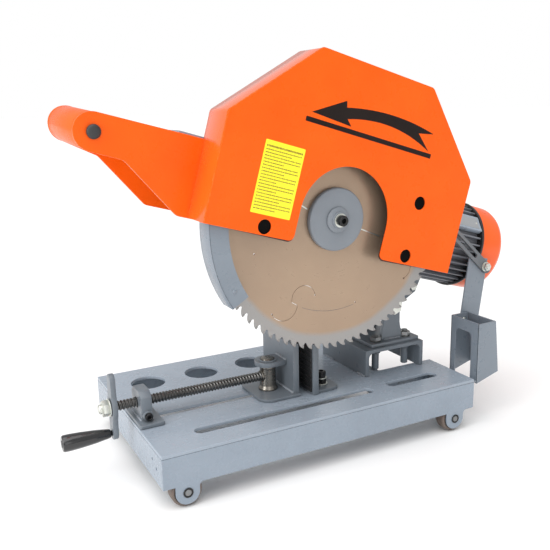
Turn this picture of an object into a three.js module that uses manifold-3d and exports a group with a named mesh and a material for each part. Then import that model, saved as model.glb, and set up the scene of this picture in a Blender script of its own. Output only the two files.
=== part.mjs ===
// A floor-standing metal-cutting chop saw: a wheeled base with a screw vise, and a tilting head
// that carries a geared motor, a toothed blade, its guards, a handle and a chip chute.
// Millimetres, +Z up, the operator's side towards -Y.
//
// Pieces are laid out in two working frames that are nested in the exported group.
// "base": x from the table's left end, y back from its front face, z up from the table's top face.
// "head": origin at the blade's centre, turned about Y by the head's rest tilt.
import * as THREE from "three";
import { mergeVertices } from "three/addons/utils/BufferGeometryUtils.js";
import Module from "manifold-3d";

const wasm = await Module();
wasm.setup();

// ---------------------------------------------------------------- driving dimensions
const GAP = 0.3; // clearance between touching pieces
const SEGMENTS = 20;

const TABLE_LENGTH = 545;
const TABLE_WIDTH = 337;
const TABLE_PLATE = 5;
const TABLE_HEIGHT = 50; // plate and skirt together
const SKIRT_WALL = 3;
const NOTCH_X = 434; // behind the stand the table is cut back to this x
const NOTCH_Y = 115; // and to this y
const BLADE_Y = 50; // the cutting plane
const CUT_SLOT = { x0: 67, x1: 374, y: 50, width: 19 };
const VISE_SLOT = { x0: 33, x1: 262, y: 131, width: 16 };
const BOLT_SLOT = { x0: 407, x1: 507, y: 54, width: 20 };
const ROUND_HOLES = { x: 68.5, pitch: 96, y: 267, radius: 28.5, count: 3 };

const WHEEL_RADIUS = 22.5;
const WHEEL_WIDTH = 19;
const WHEEL_DROP = 61.5; // axle below the table's top
const EAR_RADIUS = 17.5;
const AXLE_RADIUS = 5;
const WHEELS = [
  { name: "front_left", x: 35, rear: false },
  { name: "front_right", x: 506, rear: false },
  { name: "rear_left", x: 35, rear: true },
  { name: "rear_right", x: 395, rear: true },
];

const STAND = { x0: 395, x1: 516, y0: 99, y1: 238, height: 46, wall: 7, web: 6, corner: 9 };
const PIVOT = { x: 462, z: 112, shaftRadius: 9, barrelRadius: 20 };
const CHEEK = { y0: 118, y1: 200, thickness: 8, halfWidth: 17 };
const FOOT = { x0: 412, x1: 512, y0: 106, y1: 214, thickness: 6 };

const BLADE_X = 301; // blade centre in the base frame
const BLADE_Z = 285;
const HEAD_TILT = THREE.MathUtils.degToRad(16);
const BLADE_RADIUS = 200;
const BLADE_THICKNESS = 3;
const TEETH = 84;
const TOOTH_DEPTH = 11;
const FLANGE_RADIUS = 47;
const SPINDLE_RADIUS = 15;

const GUARD = { left: -213, right: 221, top: 224, bottom: -44, chamfer: 117, front: -25, back: 34, sheet: 2.5 };
const ARCH = { x: 3, z: 2, radius: 77 };
const GUARD_HOLES = [[-123.5, -32], [128.5, -31], [131, 53]];
const LOWER_GUARD = { radius: 207, inner: 178, halfWidth: 17, sheet: 2, from: 150, to: 228 };

const GRIP = { x: -363, z: 38.5, end: 25.5, tube: 25, front: 34.6, rear: 180, plate: 5 };
const MOTOR = { y: 125, z: 5, start: 112, ring: 350, cover: 358, end: 408, radius: 75.5, coverRadius: 77 };
const GEARBOX = { x0: -66, x1: 98, y0: 46, y1: 198, z0: -72, z1: 80, wall: 10 };

const SCREW = { y: 131, z: 28, radius: 7.4, x0: -43, x1: 217 };
const BARREL = { x: 226, radius: 12.8, top: 46, pinRadius: 8, pinTop: 61 };
const JAW = { thickness: 10, top: 85, foot: 5, moving: 251, fixed: 279 };
const CRANK = { x: -31, thickness: 8, top: 41, bottom: -40, halfWidth: 10 };

// ---------------------------------------------------------------- materials
function finish(color, roughness, metalness) {
  return new THREE.MeshStandardMaterial({ color, roughness, metalness });
}
const GREY_PAINT = finish(0x8f9aa3, 0.45, 0.1);
const ORANGE_PAINT = finish(0xff6420, 0.4, 0.0);
const DARK_GREY = finish(0x6f767d, 0.5, 0.2);
const BLADE_STEEL = finish(0xb5a294, 0.35, 0.8);
const BRIGHT_STEEL = finish(0xa9aaa8, 0.3, 0.9);
const DARK_STEEL = finish(0x5d5a56, 0.35, 0.9);
const ZINC = finish(0xcfd0c8, 0.35, 0.8);
const BLACK_PLASTIC = finish(0x1c1c1e, 0.45, 0.0);
const BLACK_OXIDE = finish(0x202022, 0.4, 0.6);
const WHEEL_POLYMER = finish(0x8a7d76, 0.6, 0.0);
const COPPER = finish(0xa86a3c, 0.4, 0.8);

// ---------------------------------------------------------------- solids
const saw = new THREE.Group();
const base = new THREE.Group();
const head = new THREE.Group();
saw.add(base);
base.add(head);
head.position.set(BLADE_X, BLADE_Y, BLADE_Z);
head.rotation.y = HEAD_TILT;

function solid(geometry) {
  const plain = geometry.clone();
  plain.deleteAttribute("normal");
  plain.deleteAttribute("uv");
  const merged = mergeVertices(plain, 1e-4);
  return new wasm.Manifold(
    new wasm.Mesh({
      numProp: 3,
      vertProperties: new Float32Array(merged.attributes.position.array),
      triVerts: new Uint32Array(merged.index.array),
    }),
  );
}

function surface(body) {
  const mesh = body.getMesh();
  const geometry = new THREE.BufferGeometry();
  geometry.setAttribute("position", new THREE.BufferAttribute(mesh.vertProperties, 3));
  geometry.setIndex(new THREE.BufferAttribute(mesh.triVerts, 1));
  geometry.computeVertexNormals();
  return geometry;
}

function join(...pieces) {
  return surface(pieces.map(solid).reduce((sum, piece) => sum.add(piece)));
}

function cut(body, ...tools) {
  return surface(tools.map(solid).reduce((rest, tool) => rest.subtract(tool), solid(body)));
}

function add(parent, name, geometry, material) {
  const mesh = new THREE.Mesh(geometry, material);
  mesh.name = name;
  parent.add(mesh);
  return mesh;
}

// ---------------------------------------------------------------- geometry in place
function box(x0, x1, y0, y1, z0, z1) {
  const geometry = new THREE.BoxGeometry(x1 - x0, y1 - y0, z1 - z0);
  return geometry.translate((x0 + x1) / 2, (y0 + y1) / 2, (z0 + z1) / 2);
}

const AXIS_TURN = {
  x: new THREE.Matrix4().makeRotationZ(-Math.PI / 2),
  y: new THREE.Matrix4(),
  z: new THREE.Matrix4().makeRotationX(Math.PI / 2),
};

// A round (or, with six segments, hexagonal) bar along an axis, from one place on it to another.
function bar(axis, [x, y, z], radius, from, to, segments = SEGMENTS, endRadius = radius) {
  const geometry = new THREE.CylinderGeometry(endRadius, radius, to - from, segments);
  geometry.translate(0, (from + to) / 2, 0);
  geometry.applyMatrix4(AXIS_TURN[axis]);
  return geometry.translate(axis === "x" ? 0 : x, axis === "y" ? 0 : y, axis === "z" ? 0 : z);
}

// A body of revolution about an axis from (radius, place) pairs that close on themselves.
function turned(axis, [x, y, z], profile, segments = SEGMENTS) {
  const points = profile.map(([radius, place]) => new THREE.Vector2(radius, place));
  points.push(points[0].clone());
  const geometry = new THREE.LatheGeometry(points, segments);
  geometry.applyMatrix4(AXIS_TURN[axis]);
  return geometry.translate(axis === "x" ? 0 : x, axis === "y" ? 0 : y, axis === "z" ? 0 : z);
}

function extrude(shape, depth, curveSegments = 4) {
  return new THREE.ExtrudeGeometry(shape, { depth, bevelEnabled: false, curveSegments });
}

// A plate lying flat: its outline is drawn in x and y.
function flat(shape, z0, z1) {
  return extrude(shape, z1 - z0).translate(0, 0, z0);
}

// A plate facing the front: its outline is drawn in x and z.
function upright(shape, y0, y1, curveSegments = 4) {
  return extrude(shape, y1 - y0, curveSegments).rotateX(Math.PI / 2).translate(0, y1, 0);
}

// A plate facing the side: its outline is drawn in y and z.
function sideways(shape, x0, x1) {
  const turn = new THREE.Matrix4().makeBasis(
    new THREE.Vector3(0, 1, 0),
    new THREE.Vector3(0, 0, 1),
    new THREE.Vector3(1, 0, 0),
  );
  return extrude(shape, x1 - x0).applyMatrix4(turn).translate(x0, 0, 0);
}

function polygon(points) {
  return new THREE.Shape(points.map(([x, y]) => new THREE.Vector2(x, y)));
}

// An outline with straight sides between two lines' ends and round ends, as a slot or a link.
function slot(x0, y0, x1, y1, radius) {
  const angle = Math.atan2(y1 - y0, x1 - x0);
  const shape = new THREE.Shape();
  shape.absarc(x1, y1, radius, angle - Math.PI / 2, angle + Math.PI / 2, false);
  shape.absarc(x0, y0, radius, angle + Math.PI / 2, angle + (3 * Math.PI) / 2, false);
  shape.closePath();
  return shape;
}

function slotAlongX({ x0, x1, y, width }) {
  return slot(x0 + width / 2, y, x1 - width / 2, y, width / 2);
}

function disc(x, y, radius) {
  const shape = new THREE.Shape();
  shape.absarc(x, y, radius, 0, Math.PI, false);
  shape.absarc(x, y, radius, Math.PI, 2 * Math.PI, false);
  return shape;
}

function roundedRectangle(x0, x1, y0, y1, radius) {
  const shape = new THREE.Shape();
  shape.absarc(x1 - radius, y0 + radius, radius, -Math.PI / 2, 0, false);
  shape.absarc(x1 - radius, y1 - radius, radius, 0, Math.PI / 2, false);
  shape.absarc(x0 + radius, y1 - radius, radius, Math.PI / 2, Math.PI, false);
  shape.absarc(x0 + radius, y0 + radius, radius, Math.PI, (3 * Math.PI) / 2, false);
  shape.closePath();
  return shape;
}

function boltAlong(axis, at, head, shank, headFrom, headTo, shankTo) {
  const sides = 6;
  const nut = bar(axis, at, head, Math.min(headFrom, headTo), Math.max(headFrom, headTo), sides);
  const stem = bar(axis, at, shank, Math.min(headFrom, shankTo), Math.max(headTo, shankTo), 12);
  return join(nut, stem);
}

// ---------------------------------------------------------------- base
function tableOutline(inset) {
  return polygon([
    [inset, inset],
    [TABLE_LENGTH - inset, inset],
    [TABLE_LENGTH - inset, NOTCH_Y - inset],
    [NOTCH_X - inset, NOTCH_Y - inset],
    [NOTCH_X - inset, TABLE_WIDTH - inset],
    [inset, TABLE_WIDTH - inset],
  ]);
}

function addTable() {
  const outline = tableOutline(0);
  outline.holes.push(slotAlongX(CUT_SLOT), slotAlongX(VISE_SLOT), slotAlongX(BOLT_SLOT));
  for (let i = 0; i < ROUND_HOLES.count; i++) {
    outline.holes.push(disc(ROUND_HOLES.x + i * ROUND_HOLES.pitch, ROUND_HOLES.y, ROUND_HOLES.radius));
  }
  add(base, "table_plate", flat(outline, -TABLE_PLATE, 0), GREY_PAINT);

  const ring = tableOutline(0);
  ring.holes.push(tableOutline(SKIRT_WALL));
  const walls = flat(ring, -TABLE_HEIGHT, -TABLE_PLATE - GAP);
  const forks = WHEELS.flatMap(({ x, rear }) => {
    const [e0, e1] = inward(rear, -SKIRT_WALL, 0);
    const [b0, b1] = inward(rear, WHEEL_WIDTH + 2, WHEEL_WIDTH + 6);
    const [t0, t1] = inward(rear, -1, WHEEL_WIDTH + 6);
    const outer = slot(x, -WHEEL_DROP, x, -TABLE_HEIGHT + 4, EAR_RADIUS);
    const inner = slot(x, -WHEEL_DROP, x, -30, EAR_RADIUS);
    const bridge = box(x - EAR_RADIUS, x + EAR_RADIUS, t0, t1, -20, -TABLE_PLATE - GAP);
    return [upright(outer, e0, e1), upright(inner, b0, b1), bridge];
  });
  const bores = WHEELS.map(({ x, rear }) => {
    const [y0, y1] = inward(rear, -SKIRT_WALL - 5, WHEEL_WIDTH + 12);
    return bar("y", [x, 0, -WHEEL_DROP], AXLE_RADIUS + GAP, y0, y1);
  });
  add(base, "table_skirt", cut(join(walls, ...forks), ...bores), GREY_PAINT);
}

// A stretch along y from the skirt's inner face, inwards, at the front or at the rear.
function inward(rear, from, to) {
  return rear
    ? [TABLE_WIDTH - SKIRT_WALL - to, TABLE_WIDTH - SKIRT_WALL - from]
    : [SKIRT_WALL + from, SKIRT_WALL + to];
}

function addWheel({ name, x, rear }) {
  const at = [x, 0, -WHEEL_DROP];
  const [w0, w1] = inward(rear, 1, 1 + WHEEL_WIDTH);
  const rim = WHEEL_RADIUS - 2;
  const bore = AXLE_RADIUS + GAP;
  const wheel = turned("y", at, [
    [bore, w0], [rim - 6, w0], [rim - 5, w0 + 1], [rim, w0 + 1], [WHEEL_RADIUS, w0 + 3],
    [WHEEL_RADIUS, w1 - 3], [rim, w1 - 1], [rim - 5, w1 - 1], [rim - 6, w1], [bore, w1],
  ]);
  add(base, `wheel_${name}`, wheel, WHEEL_POLYMER);
  const [a0, a1] = inward(rear, -SKIRT_WALL - 1.5, 9 + WHEEL_WIDTH);
  add(base, `axle_${name}`, bar("y", at, AXLE_RADIUS, a0, a1), ZINC);
}

function addStand() {
  const { x0, x1, y0, y1, height, wall, web, corner } = STAND;
  const outline = new THREE.Shape();
  outline.moveTo(x0, GAP);
  outline.lineTo(x0 + wall, GAP);
  outline.lineTo(x0 + wall, height - web - corner);
  outline.absarc(x0 + wall + corner, height - web - corner, corner, Math.PI, Math.PI / 2, true);
  outline.absarc(x1 - wall - corner, height - web - corner, corner, Math.PI / 2, 0, true);
  outline.lineTo(x1 - wall, GAP);
  outline.lineTo(x1, GAP);
  outline.lineTo(x1, height);
  outline.lineTo(x0, height);
  outline.closePath();
  const bolts = [[430, 121], [492, 121]];
  const holes = bolts.map(([x, y]) => bar("z", [x, y, 0], 5.6, height - 20, height + 5));
  add(base, "hinge_stand", cut(upright(outline, y0, y1), ...holes), GREY_PAINT);

  const footTop = height + GAP + FOOT.thickness;
  bolts.forEach(([x, y], i) => {
    const stud = bar("z", [x, y, 0], 5, GAP, footTop + 12, 12);
    const nut = bar("z", [x, y, 0], 9, footTop + GAP, footTop + 8, 6);
    const underNut = bar("z", [x, y, 0], 9, height - web - 9, height - web - GAP, 6);
    add(base, `stand_bolt_${i + 1}`, join(stud, nut, underNut), i ? ZINC : DARK_GREY);
  });

  const foot = box(FOOT.x0, FOOT.x1, FOOT.y0, FOOT.y1, height + GAP, footTop);
  const cheek = slot(PIVOT.x, height + CHEEK.halfWidth, PIVOT.x, PIVOT.z, CHEEK.halfWidth);
  const front = upright(cheek, CHEEK.y0, CHEEK.y0 + CHEEK.thickness);
  const rear = upright(cheek, CHEEK.y1 - CHEEK.thickness, CHEEK.y1);
  const feet = [CHEEK.y0, CHEEK.y1 - CHEEK.thickness].map((y) =>
    box(PIVOT.x - 17, PIVOT.x + 17, y, y + CHEEK.thickness, footTop - 1, footTop + 30),
  );
  const bore = bar("y", [PIVOT.x, 0, PIVOT.z], PIVOT.shaftRadius + GAP, CHEEK.y0 - 5, CHEEK.y1 + 5);
  const studHoles = bolts.map(([x, y]) => bar("z", [x, y, 0], 5.6, height - 5, footTop + 5));
  const under = box(FOOT.x0, FOOT.x1, FOOT.y0, FOOT.y1, 0, height + GAP);
  const bracket = cut(join(foot, front, rear, ...feet), bore, under, ...studHoles);
  add(base, "pivot_bracket", bracket, GREY_PAINT);

  const shaft = join(
    bar("y", [PIVOT.x, 0, PIVOT.z], PIVOT.shaftRadius, CHEEK.y0 - 4, 246),
    bar("y", [PIVOT.x, 0, PIVOT.z], 15, CHEEK.y0 - 11, CHEEK.y0 - GAP, 6),
    bar("y", [PIVOT.x, 0, PIVOT.z], 15, 240, 249, 6),
  );
  add(base, "pivot_shaft", shaft, DARK_STEEL);
  add(base, "stop_bolt", boltAlong("z", [503, 186, 0], 9, 5, footTop + 15, footTop + 23, footTop + GAP), ZINC);
}

function addReturnSpring() {
  const radius = 15;
  const turns = 5;
  const first = CHEEK.y1 + 5;
  const pitch = 5;
  class Coil extends THREE.Curve {
    getPoint(t) {
      const angle = 2 * Math.PI * turns * t;
      return new THREE.Vector3(
        PIVOT.x + radius * Math.cos(angle),
        first + pitch * turns * t,
        PIVOT.z + radius * Math.sin(angle),
      );
    }
  }
  const corners = [0, 1, 2, 3, 4].map((i) => (i * 2 * Math.PI) / 5);
  const wire = polygon(corners.map((angle) => [2 * Math.cos(angle), 2 * Math.sin(angle)]));
  const path = new Coil();
  const coil = new THREE.ExtrudeGeometry(wire, { steps: turns * 12, bevelEnabled: false, extrudePath: path });
  add(base, "return_spring", coil, DARK_STEEL);
}

// ---------------------------------------------------------------- vise
function addFixedJaw() {
  const { thickness, top, foot, fixed } = JAW;
  const bolts = [[310, 104], [310, 164]];
  const sole = flat(roundedRectangle(fixed, 332, 80, 186, 16), GAP, foot);
  const wall = box(fixed, fixed + thickness, 76, 190, GAP, top);
  const gusset = upright(polygon([[288, 4], [326, 4], [288, 52]]), 128, 136);
  const holes = bolts.map(([x, y]) => bar("z", [x, y, 0], 5.6, -5, 12));
  add(base, "fixed_jaw", cut(join(sole, wall, gusset), ...holes), GREY_PAINT);

  const teeth = 9;
  const pitch = (top - 8) / teeth;
  const profile = [[fixed - GAP, 5], [fixed - 2.7, 5]];
  for (let i = 0; i < teeth; i++) {
    profile.push([fixed - 2.7, 5 + (i + 0.8) * pitch], [fixed - 1.5, 5 + (i + 0.9) * pitch]);
    profile.push([fixed - 2.7, 5 + (i + 1) * pitch]);
  }
  profile.push([fixed - GAP, 5 + teeth * pitch]);
  add(base, "fixed_jaw_face", upright(polygon(profile.reverse()), 80, 188), DARK_GREY);

  bolts.forEach(([x, y], i) => {
    const bolt = cut(
      join(bar("z", [x, y, 0], 8.5, foot + GAP, 17), bar("z", [x, y, 0], 5, GAP, foot + 1, 12)),
      bar("z", [x, y, 0], 4.6, 10, 20, 6),
    );
    add(base, `fixed_jaw_bolt_${i + 1}`, bolt, BLACK_OXIDE);
  });
}

function addMovingJaw() {
  const { thickness, top, foot, moving } = JAW;
  const at = [BARREL.x, SCREW.y, 0];
  const sole = flat(roundedRectangle(194, moving + thickness, 84, 178, 20), GAP, foot);
  const wall = box(moving, moving + thickness, 90, 196, GAP, top);
  const gusset = upright(polygon([[226, 4], [252, 4], [252, 40]]), 156, 163);
  const hole = bar("z", at, 7.6, -5, 12);
  const lug = flat(slot(BARREL.x, SCREW.y, moving - 16, SCREW.y, 21), BARREL.top + GAP, BARREL.top + 8);
  const eye = bar("z", at, BARREL.pinRadius + 0.4, 20, 80);
  const clear = box(moving + thickness, moving + 40, 80, 180, 20, 80);
  add(base, "moving_jaw", cut(join(sole, wall, gusset, lug), hole, eye, clear), GREY_PAINT);

  const body = join(
    bar("z", at, BARREL.radius, foot + GAP, BARREL.top),
    bar("z", at, BARREL.pinRadius, BARREL.top - 2, BARREL.pinTop),
    bar("z", at, 7, -24, foot + 2),
    bar("z", at, 13, -TABLE_PLATE - 10, -TABLE_PLATE - 1, 6),
  );
  const seat = bar("x", [0, SCREW.y, SCREW.z], SCREW.radius + GAP, BARREL.x - 30, SCREW.x1 + GAP);
  add(base, "screw_barrel", cut(body, seat), DARK_STEEL);
}

function addNutBlock() {
  const pad = flat(roundedRectangle(1, 38, 92, 172, 4), GAP, 6);
  const blockShape = polygon([[108, 5], [154, 5], [154, 41], [145, 49], [117, 49], [108, 41]]);
  const block = sideways(blockShape, 8, 25);
  const bore = bar("x", [0, SCREW.y, SCREW.z], SCREW.radius + 0.4, -20, 60);
  const socket = bar("y", [17, 0, 14], 2.8, 96, 105, 6);
  const lock = bar("y", [17, 0, 14], 5.5, 101, 110);
  add(base, "nut_block", cut(join(pad, block, lock), bore, socket), GREY_PAINT);
}

function addVise() {
  addFixedJaw();
  addMovingJaw();
  addNutBlock();
  const axis = [0, SCREW.y, SCREW.z];
  const { x, thickness, top, bottom, halfWidth } = CRANK;
  const nut = bar("x", axis, 10.5, x - 10, x - 1 - GAP, 6);
  add(base, "lead_screw", join(bar("x", axis, SCREW.radius, SCREW.x0, SCREW.x1), nut), DARK_STEEL);

  const link = slot(SCREW.y, SCREW.z + bottom, SCREW.y, SCREW.z + top, halfWidth);
  const hub = disc(SCREW.y, SCREW.z, 15);
  const arm = cut(
    join(sideways(link, x, x + thickness), sideways(hub, x - 1, x + thickness + 1)),
    bar("x", axis, SCREW.radius + GAP, x - 20, x + 30),
    bar("x", [0, SCREW.y, SCREW.z + bottom], 4 + GAP, x - 20, x + 30, 12),
  );
  add(base, "crank_arm", arm, GREY_PAINT);

  const low = [0, SCREW.y, SCREW.z + bottom];
  const pin = join(bar("x", low, 4, -104, x + thickness + 2, 12), bar("x", low, 7, -106, -102, 12));
  add(base, "grip_pin", pin, BLACK_OXIDE);
  const grip = turned("x", low, [
    [4.4, -101], [9.6, -101], [10.6, -99], [10.8, -90], [10, -72], [8, -50], [6.4, -36], [6, -33], [4.4, -33],
  ]);
  add(base, "crank_grip", grip, BLACK_PLASTIC);
}

// ---------------------------------------------------------------- head: guards
function guardOutline(inset, bottom) {
  const { left, right, top, chamfer } = GUARD;
  const [l, r, t] = [left + inset, right - inset, top - inset];
  const k = chamfer - inset * (2 - Math.SQRT2);
  return polygon([[l, bottom], [r, bottom], [r, t - k], [r - k, t], [l + k, t], [l, t - k]]);
}

// An arch that is open at the bottom, with legs that flare out where they meet the lower edge.
function arch(x, z, radius, flare) {
  const bottom = GUARD.bottom;
  const shape = new THREE.Shape();
  shape.moveTo(x - radius - flare, bottom - 10);
  shape.lineTo(x + radius + flare, bottom - 10);
  shape.lineTo(x + radius + flare, bottom);
  if (flare) shape.absarc(x + radius + flare, bottom + flare, flare, -Math.PI / 2, -Math.PI, true);
  shape.absarc(x, z, radius, 0, Math.PI, false);
  if (flare) shape.absarc(x - radius - flare, bottom + flare, flare, 0, -Math.PI / 2, true);
  shape.lineTo(x - radius - flare, bottom);
  shape.closePath();
  return shape;
}

function addUpperGuard() {
  const { front, back, sheet, bottom } = GUARD;
  const shell = cut(
    upright(guardOutline(0, bottom), front + sheet + GAP, back),
    upright(guardOutline(sheet, bottom - 5), front - 5, back - sheet),
    upright(arch(0, 0, 40, 0), back - 10, back + 10),
  );
  add(head, "guard_shell", shell, ORANGE_PAINT);

  const holes = GUARD_HOLES.map(([x, z]) => bar("y", [x, 0, z], 7.6, front - 5, front + 10));
  const panel = cut(
    upright(guardOutline(0, bottom), front, front + sheet),
    upright(arch(ARCH.x, ARCH.z, ARCH.radius, 9), front - 5, front + 10, 9),
    ...holes,
  );
  add(head, "guard_front_panel", panel, ORANGE_PAINT);
}

function sector(inner, outer, fromDegrees, toDegrees) {
  const from = THREE.MathUtils.degToRad(fromDegrees);
  const to = THREE.MathUtils.degToRad(toDegrees);
  const shape = new THREE.Shape();
  shape.absarc(0, 0, outer, from, to, false);
  shape.absarc(0, 0, inner, to, from, true);
  shape.closePath();
  return shape;
}

function addLowerGuard() {
  const { radius, inner, halfWidth, sheet, from, to } = LOWER_GUARD;
  const rim = upright(sector(radius - sheet, radius, from, to), -halfWidth, halfWidth, 9);
  const face = upright(sector(inner, radius - 0.5, from, to), -halfWidth, -halfWidth + sheet, 9);
  const rear = upright(sector(inner, radius - 0.5, from, to), halfWidth - sheet, halfWidth, 9);
  const web = upright(sector(40, inner + 5, 170, 192), halfWidth - sheet, halfWidth);
  const ring = new THREE.Shape().absarc(0, 0, 48, 0, 2 * Math.PI, false);
  ring.holes.push(disc(0, 0, 32));
  const hub = upright(ring, halfWidth - sheet, halfWidth);
  add(head, "lower_guard", join(rim, face, rear, web, hub), GREY_PAINT);
}

// ---------------------------------------------------------------- head: blade and drive
function bladeOutline() {
  const points = [];
  const pitch = (2 * Math.PI) / TEETH;
  const root = BLADE_RADIUS - TOOTH_DEPTH;
  const tooth = [[0.05, root], [0.52, BLADE_RADIUS - 2], [0.95, BLADE_RADIUS], [0.86, root + 2]];
  for (let i = 0; i < TEETH; i++) {
    for (const [share, radius] of tooth) {
      const angle = (i + share) * pitch;
      points.push([radius * Math.cos(angle), radius * Math.sin(angle)]);
    }
  }
  const outline = polygon(points);
  outline.holes.push(disc(0, 0, SPINDLE_RADIUS + GAP));
  return outline;
}

function addBlade() {
  const half = BLADE_THICKNESS / 2;
  add(head, "saw_blade", upright(bladeOutline(), -half, half), BLADE_STEEL);
  const bore = SPINDLE_RADIUS + GAP;
  const near = -half - GAP;
  const outer = turned("y", [0, 0, 0], [
    [bore, near - 9], [FLANGE_RADIUS - 4, near - 9], [FLANGE_RADIUS, near - 6], [FLANGE_RADIUS, near], [bore, near],
  ], 36);
  add(head, "outer_flange", outer, BRIGHT_STEEL);
  const far = half + GAP;
  const inner = turned("y", [0, 0, 0], [
    [bore, far], [FLANGE_RADIUS, far], [FLANGE_RADIUS, far + 7], [28, far + 11], [bore, far + 11],
  ], 36);
  add(head, "inner_flange", inner, BRIGHT_STEEL);

  const spindle = cut(
    bar("y", [0, 0, 0], SPINDLE_RADIUS, near - 8.5, 190, 20),
    bar("y", [0, 0, 0], 5 + GAP, near - 20, 20, 12),
  );
  add(head, "spindle", spindle, BRIGHT_STEEL);
  const washerFront = near - 9 - GAP - 3;
  const bolt = cut(
    join(
      bar("y", [0, 0, 0], 8, washerFront - 10, washerFront + 1),
      bar("y", [0, 0, 0], 19, washerFront, washerFront + 3),
      bar("y", [0, 0, 0], 5, washerFront + 1, 18, 12),
    ),
    bar("y", [0, 0, 0], 4.4, washerFront - 15, washerFront - 4, 6),
  );
  add(head, "arbor_bolt", bolt, BLACK_OXIDE);
}

function addGearbox() {
  const { x0, x1, y0, y1, z0, z1, wall } = GEARBOX;
  const caseShape = roundedRectangle(x0, x1, z0, z1, 16);
  const roomShape = roundedRectangle(x0 + wall, x1 - wall, z0 + wall, z1 - wall, 8);
  const housing = cut(
    join(upright(caseShape, y0, y1 - wall), bar("y", [0, 0, 0], 30, 19, y0 + 5)),
    upright(roomShape, y0 + wall, y1),
    bar("y", [0, 0, 0], SPINDLE_RADIUS + GAP, 0, 80),
    bar("x", [0, MOTOR.y, MOTOR.z], 26, 60, 130),
  );
  add(head, "gearbox_housing", housing, GREY_PAINT);
  const cover = cut(
    join(upright(caseShape, y1 - wall + GAP, y1), bar("y", [0, 0, 0], 30, y1 - 3, y1 + 8)),
    bar("y", [0, 0, 0], SPINDLE_RADIUS + GAP, 150, 195),
  );
  add(head, "gearbox_cover", cover, GREY_PAINT);

  const bearingBore = SPINDLE_RADIUS + GAP;
  const frontBearing = turned("y", [0, 0, 0], [[bearingBore, y0 + wall + 1], [30, y0 + wall + 1], [30, y0 + wall + 16], [bearingBore, y0 + wall + 16]]);
  add(head, "spindle_bearing", frontBearing, BRIGHT_STEEL);
  const gearFace = MOTOR.y + 13;
  const wheel = turned("y", [0, 0, 0], [
    [bearingBore, gearFace + 2], [38, gearFace + 2], [40, gearFace], [54, gearFace], [56, gearFace + 4], [50, gearFace + 14],
    [bearingBore, gearFace + 14],
  ], 36);
  add(head, "crown_gear", wheel, DARK_STEEL);
  const shaftBore = 9 + GAP;
  const pinion = turned("x", [0, MOTOR.y, MOTOR.z], [[shaftBore, 34], [12.2, 34], [12.6, 60], [shaftBore, 60]]);
  add(head, "drive_pinion", pinion, DARK_STEEL);
}

function addMotor() {
  const { y, z, start, ring, cover, end, radius, coverRadius } = MOTOR;
  const axis = [0, y, z];
  const fins = 36;
  const finPoints = [];
  for (let i = 0; i < fins; i++) {
    for (const [share, r] of [[-0.3, radius - 9], [-0.2, radius], [0.2, radius], [0.3, radius - 9]]) {
      const angle = ((i + share) * 2 * Math.PI) / fins;
      finPoints.push([y + r * Math.cos(angle), z + r * Math.sin(angle)]);
    }
  }
  const bodyShape = polygon(finPoints);
  bodyShape.holes.push(disc(y, z, 60));
  add(head, "motor_frame", sideways(bodyShape, start + GAP, ring - GAP), DARK_GREY);

  const shaftBore = 9 + GAP;
  const front = turned("x", axis, [
    [shaftBore, GEARBOX.x1 + GAP], [60, GEARBOX.x1 + GAP], [78, start - 6], [78, start], [shaftBore, start],
  ], 36);
  add(head, "motor_end_bell", front, DARK_GREY);
  const rear = turned("x", axis, [
    [shaftBore, ring], [78.5, ring], [78.5, cover - GAP], [shaftBore, cover - GAP],
  ], 36);
  add(head, "motor_rear_ring", rear, BLACK_OXIDE);

  const stator = turned("x", axis, [[38, start + 30], [58, start + 30], [58, ring - 40], [38, ring - 40]], 28);
  add(head, "stator", stator, COPPER);
  const rotor = join(
    bar("x", axis, 9, 33, end - 12),
    bar("x", axis, 37, start + 34, ring - 44, 24),
  );
  add(head, "motor_rotor", rotor, DARK_STEEL);

  const fanRoot = cover + 10;
  const fanHub = bar("x", axis, 18, fanRoot, fanRoot + 22, 18);
  const blades = [];
  for (let i = 0; i < 7; i++) {
    const blade = box(fanRoot, fanRoot + 20, y - 1.5, y + 1.5, z + 10, z + 62);
    blade.translate(0, -y, -z).rotateX((i * 2 * Math.PI) / 7).translate(0, y, z);
    blades.push(blade);
  }
  const fan = cut(join(fanHub, ...blades), bar("x", axis, 9 + GAP, cover - 5, end));
  add(head, "cooling_fan", fan, BLACK_PLASTIC);

  const shell = turned("x", axis, [
    [coverRadius - 2, cover], [coverRadius, cover], [coverRadius, end - 9], [coverRadius - 3, end - 3], [coverRadius - 9, end],
    [12, end], [12, end - 2], [coverRadius - 10, end - 2], [coverRadius - 4, end - 5], [coverRadius - 2, end - 10],
  ], 36);
  const vents = [];
  for (const [ringRadius, count] of [[28, 5], [50, 9]]) {
    for (let i = 0; i < count; i++) {
      const angle = (i * 2 * Math.PI) / count;
      const at = [0, y + ringRadius * Math.cos(angle), z + ringRadius * Math.sin(angle)];
      vents.push(bar("x", at, 7, end - 8, end + 5, 6));
    }
  }
  add(head, "fan_cover", cut(shell, ...vents), ORANGE_PAINT);

  const low = z + radius + 1;
  const gland = [0, y, low + 17];
  const terminal = cut(
    join(
      box(132, 204, y - 34, y + 34, low, low + 39),
      box(129, 207, y - 37, y + 37, low + 38, low + 43),
      bar("x", gland, 9, 200, 214, 12),
    ),
    bar("x", gland, 5, 195, 220, 12),
  );
  add(head, "terminal_box", terminal, DARK_GREY);
}

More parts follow.
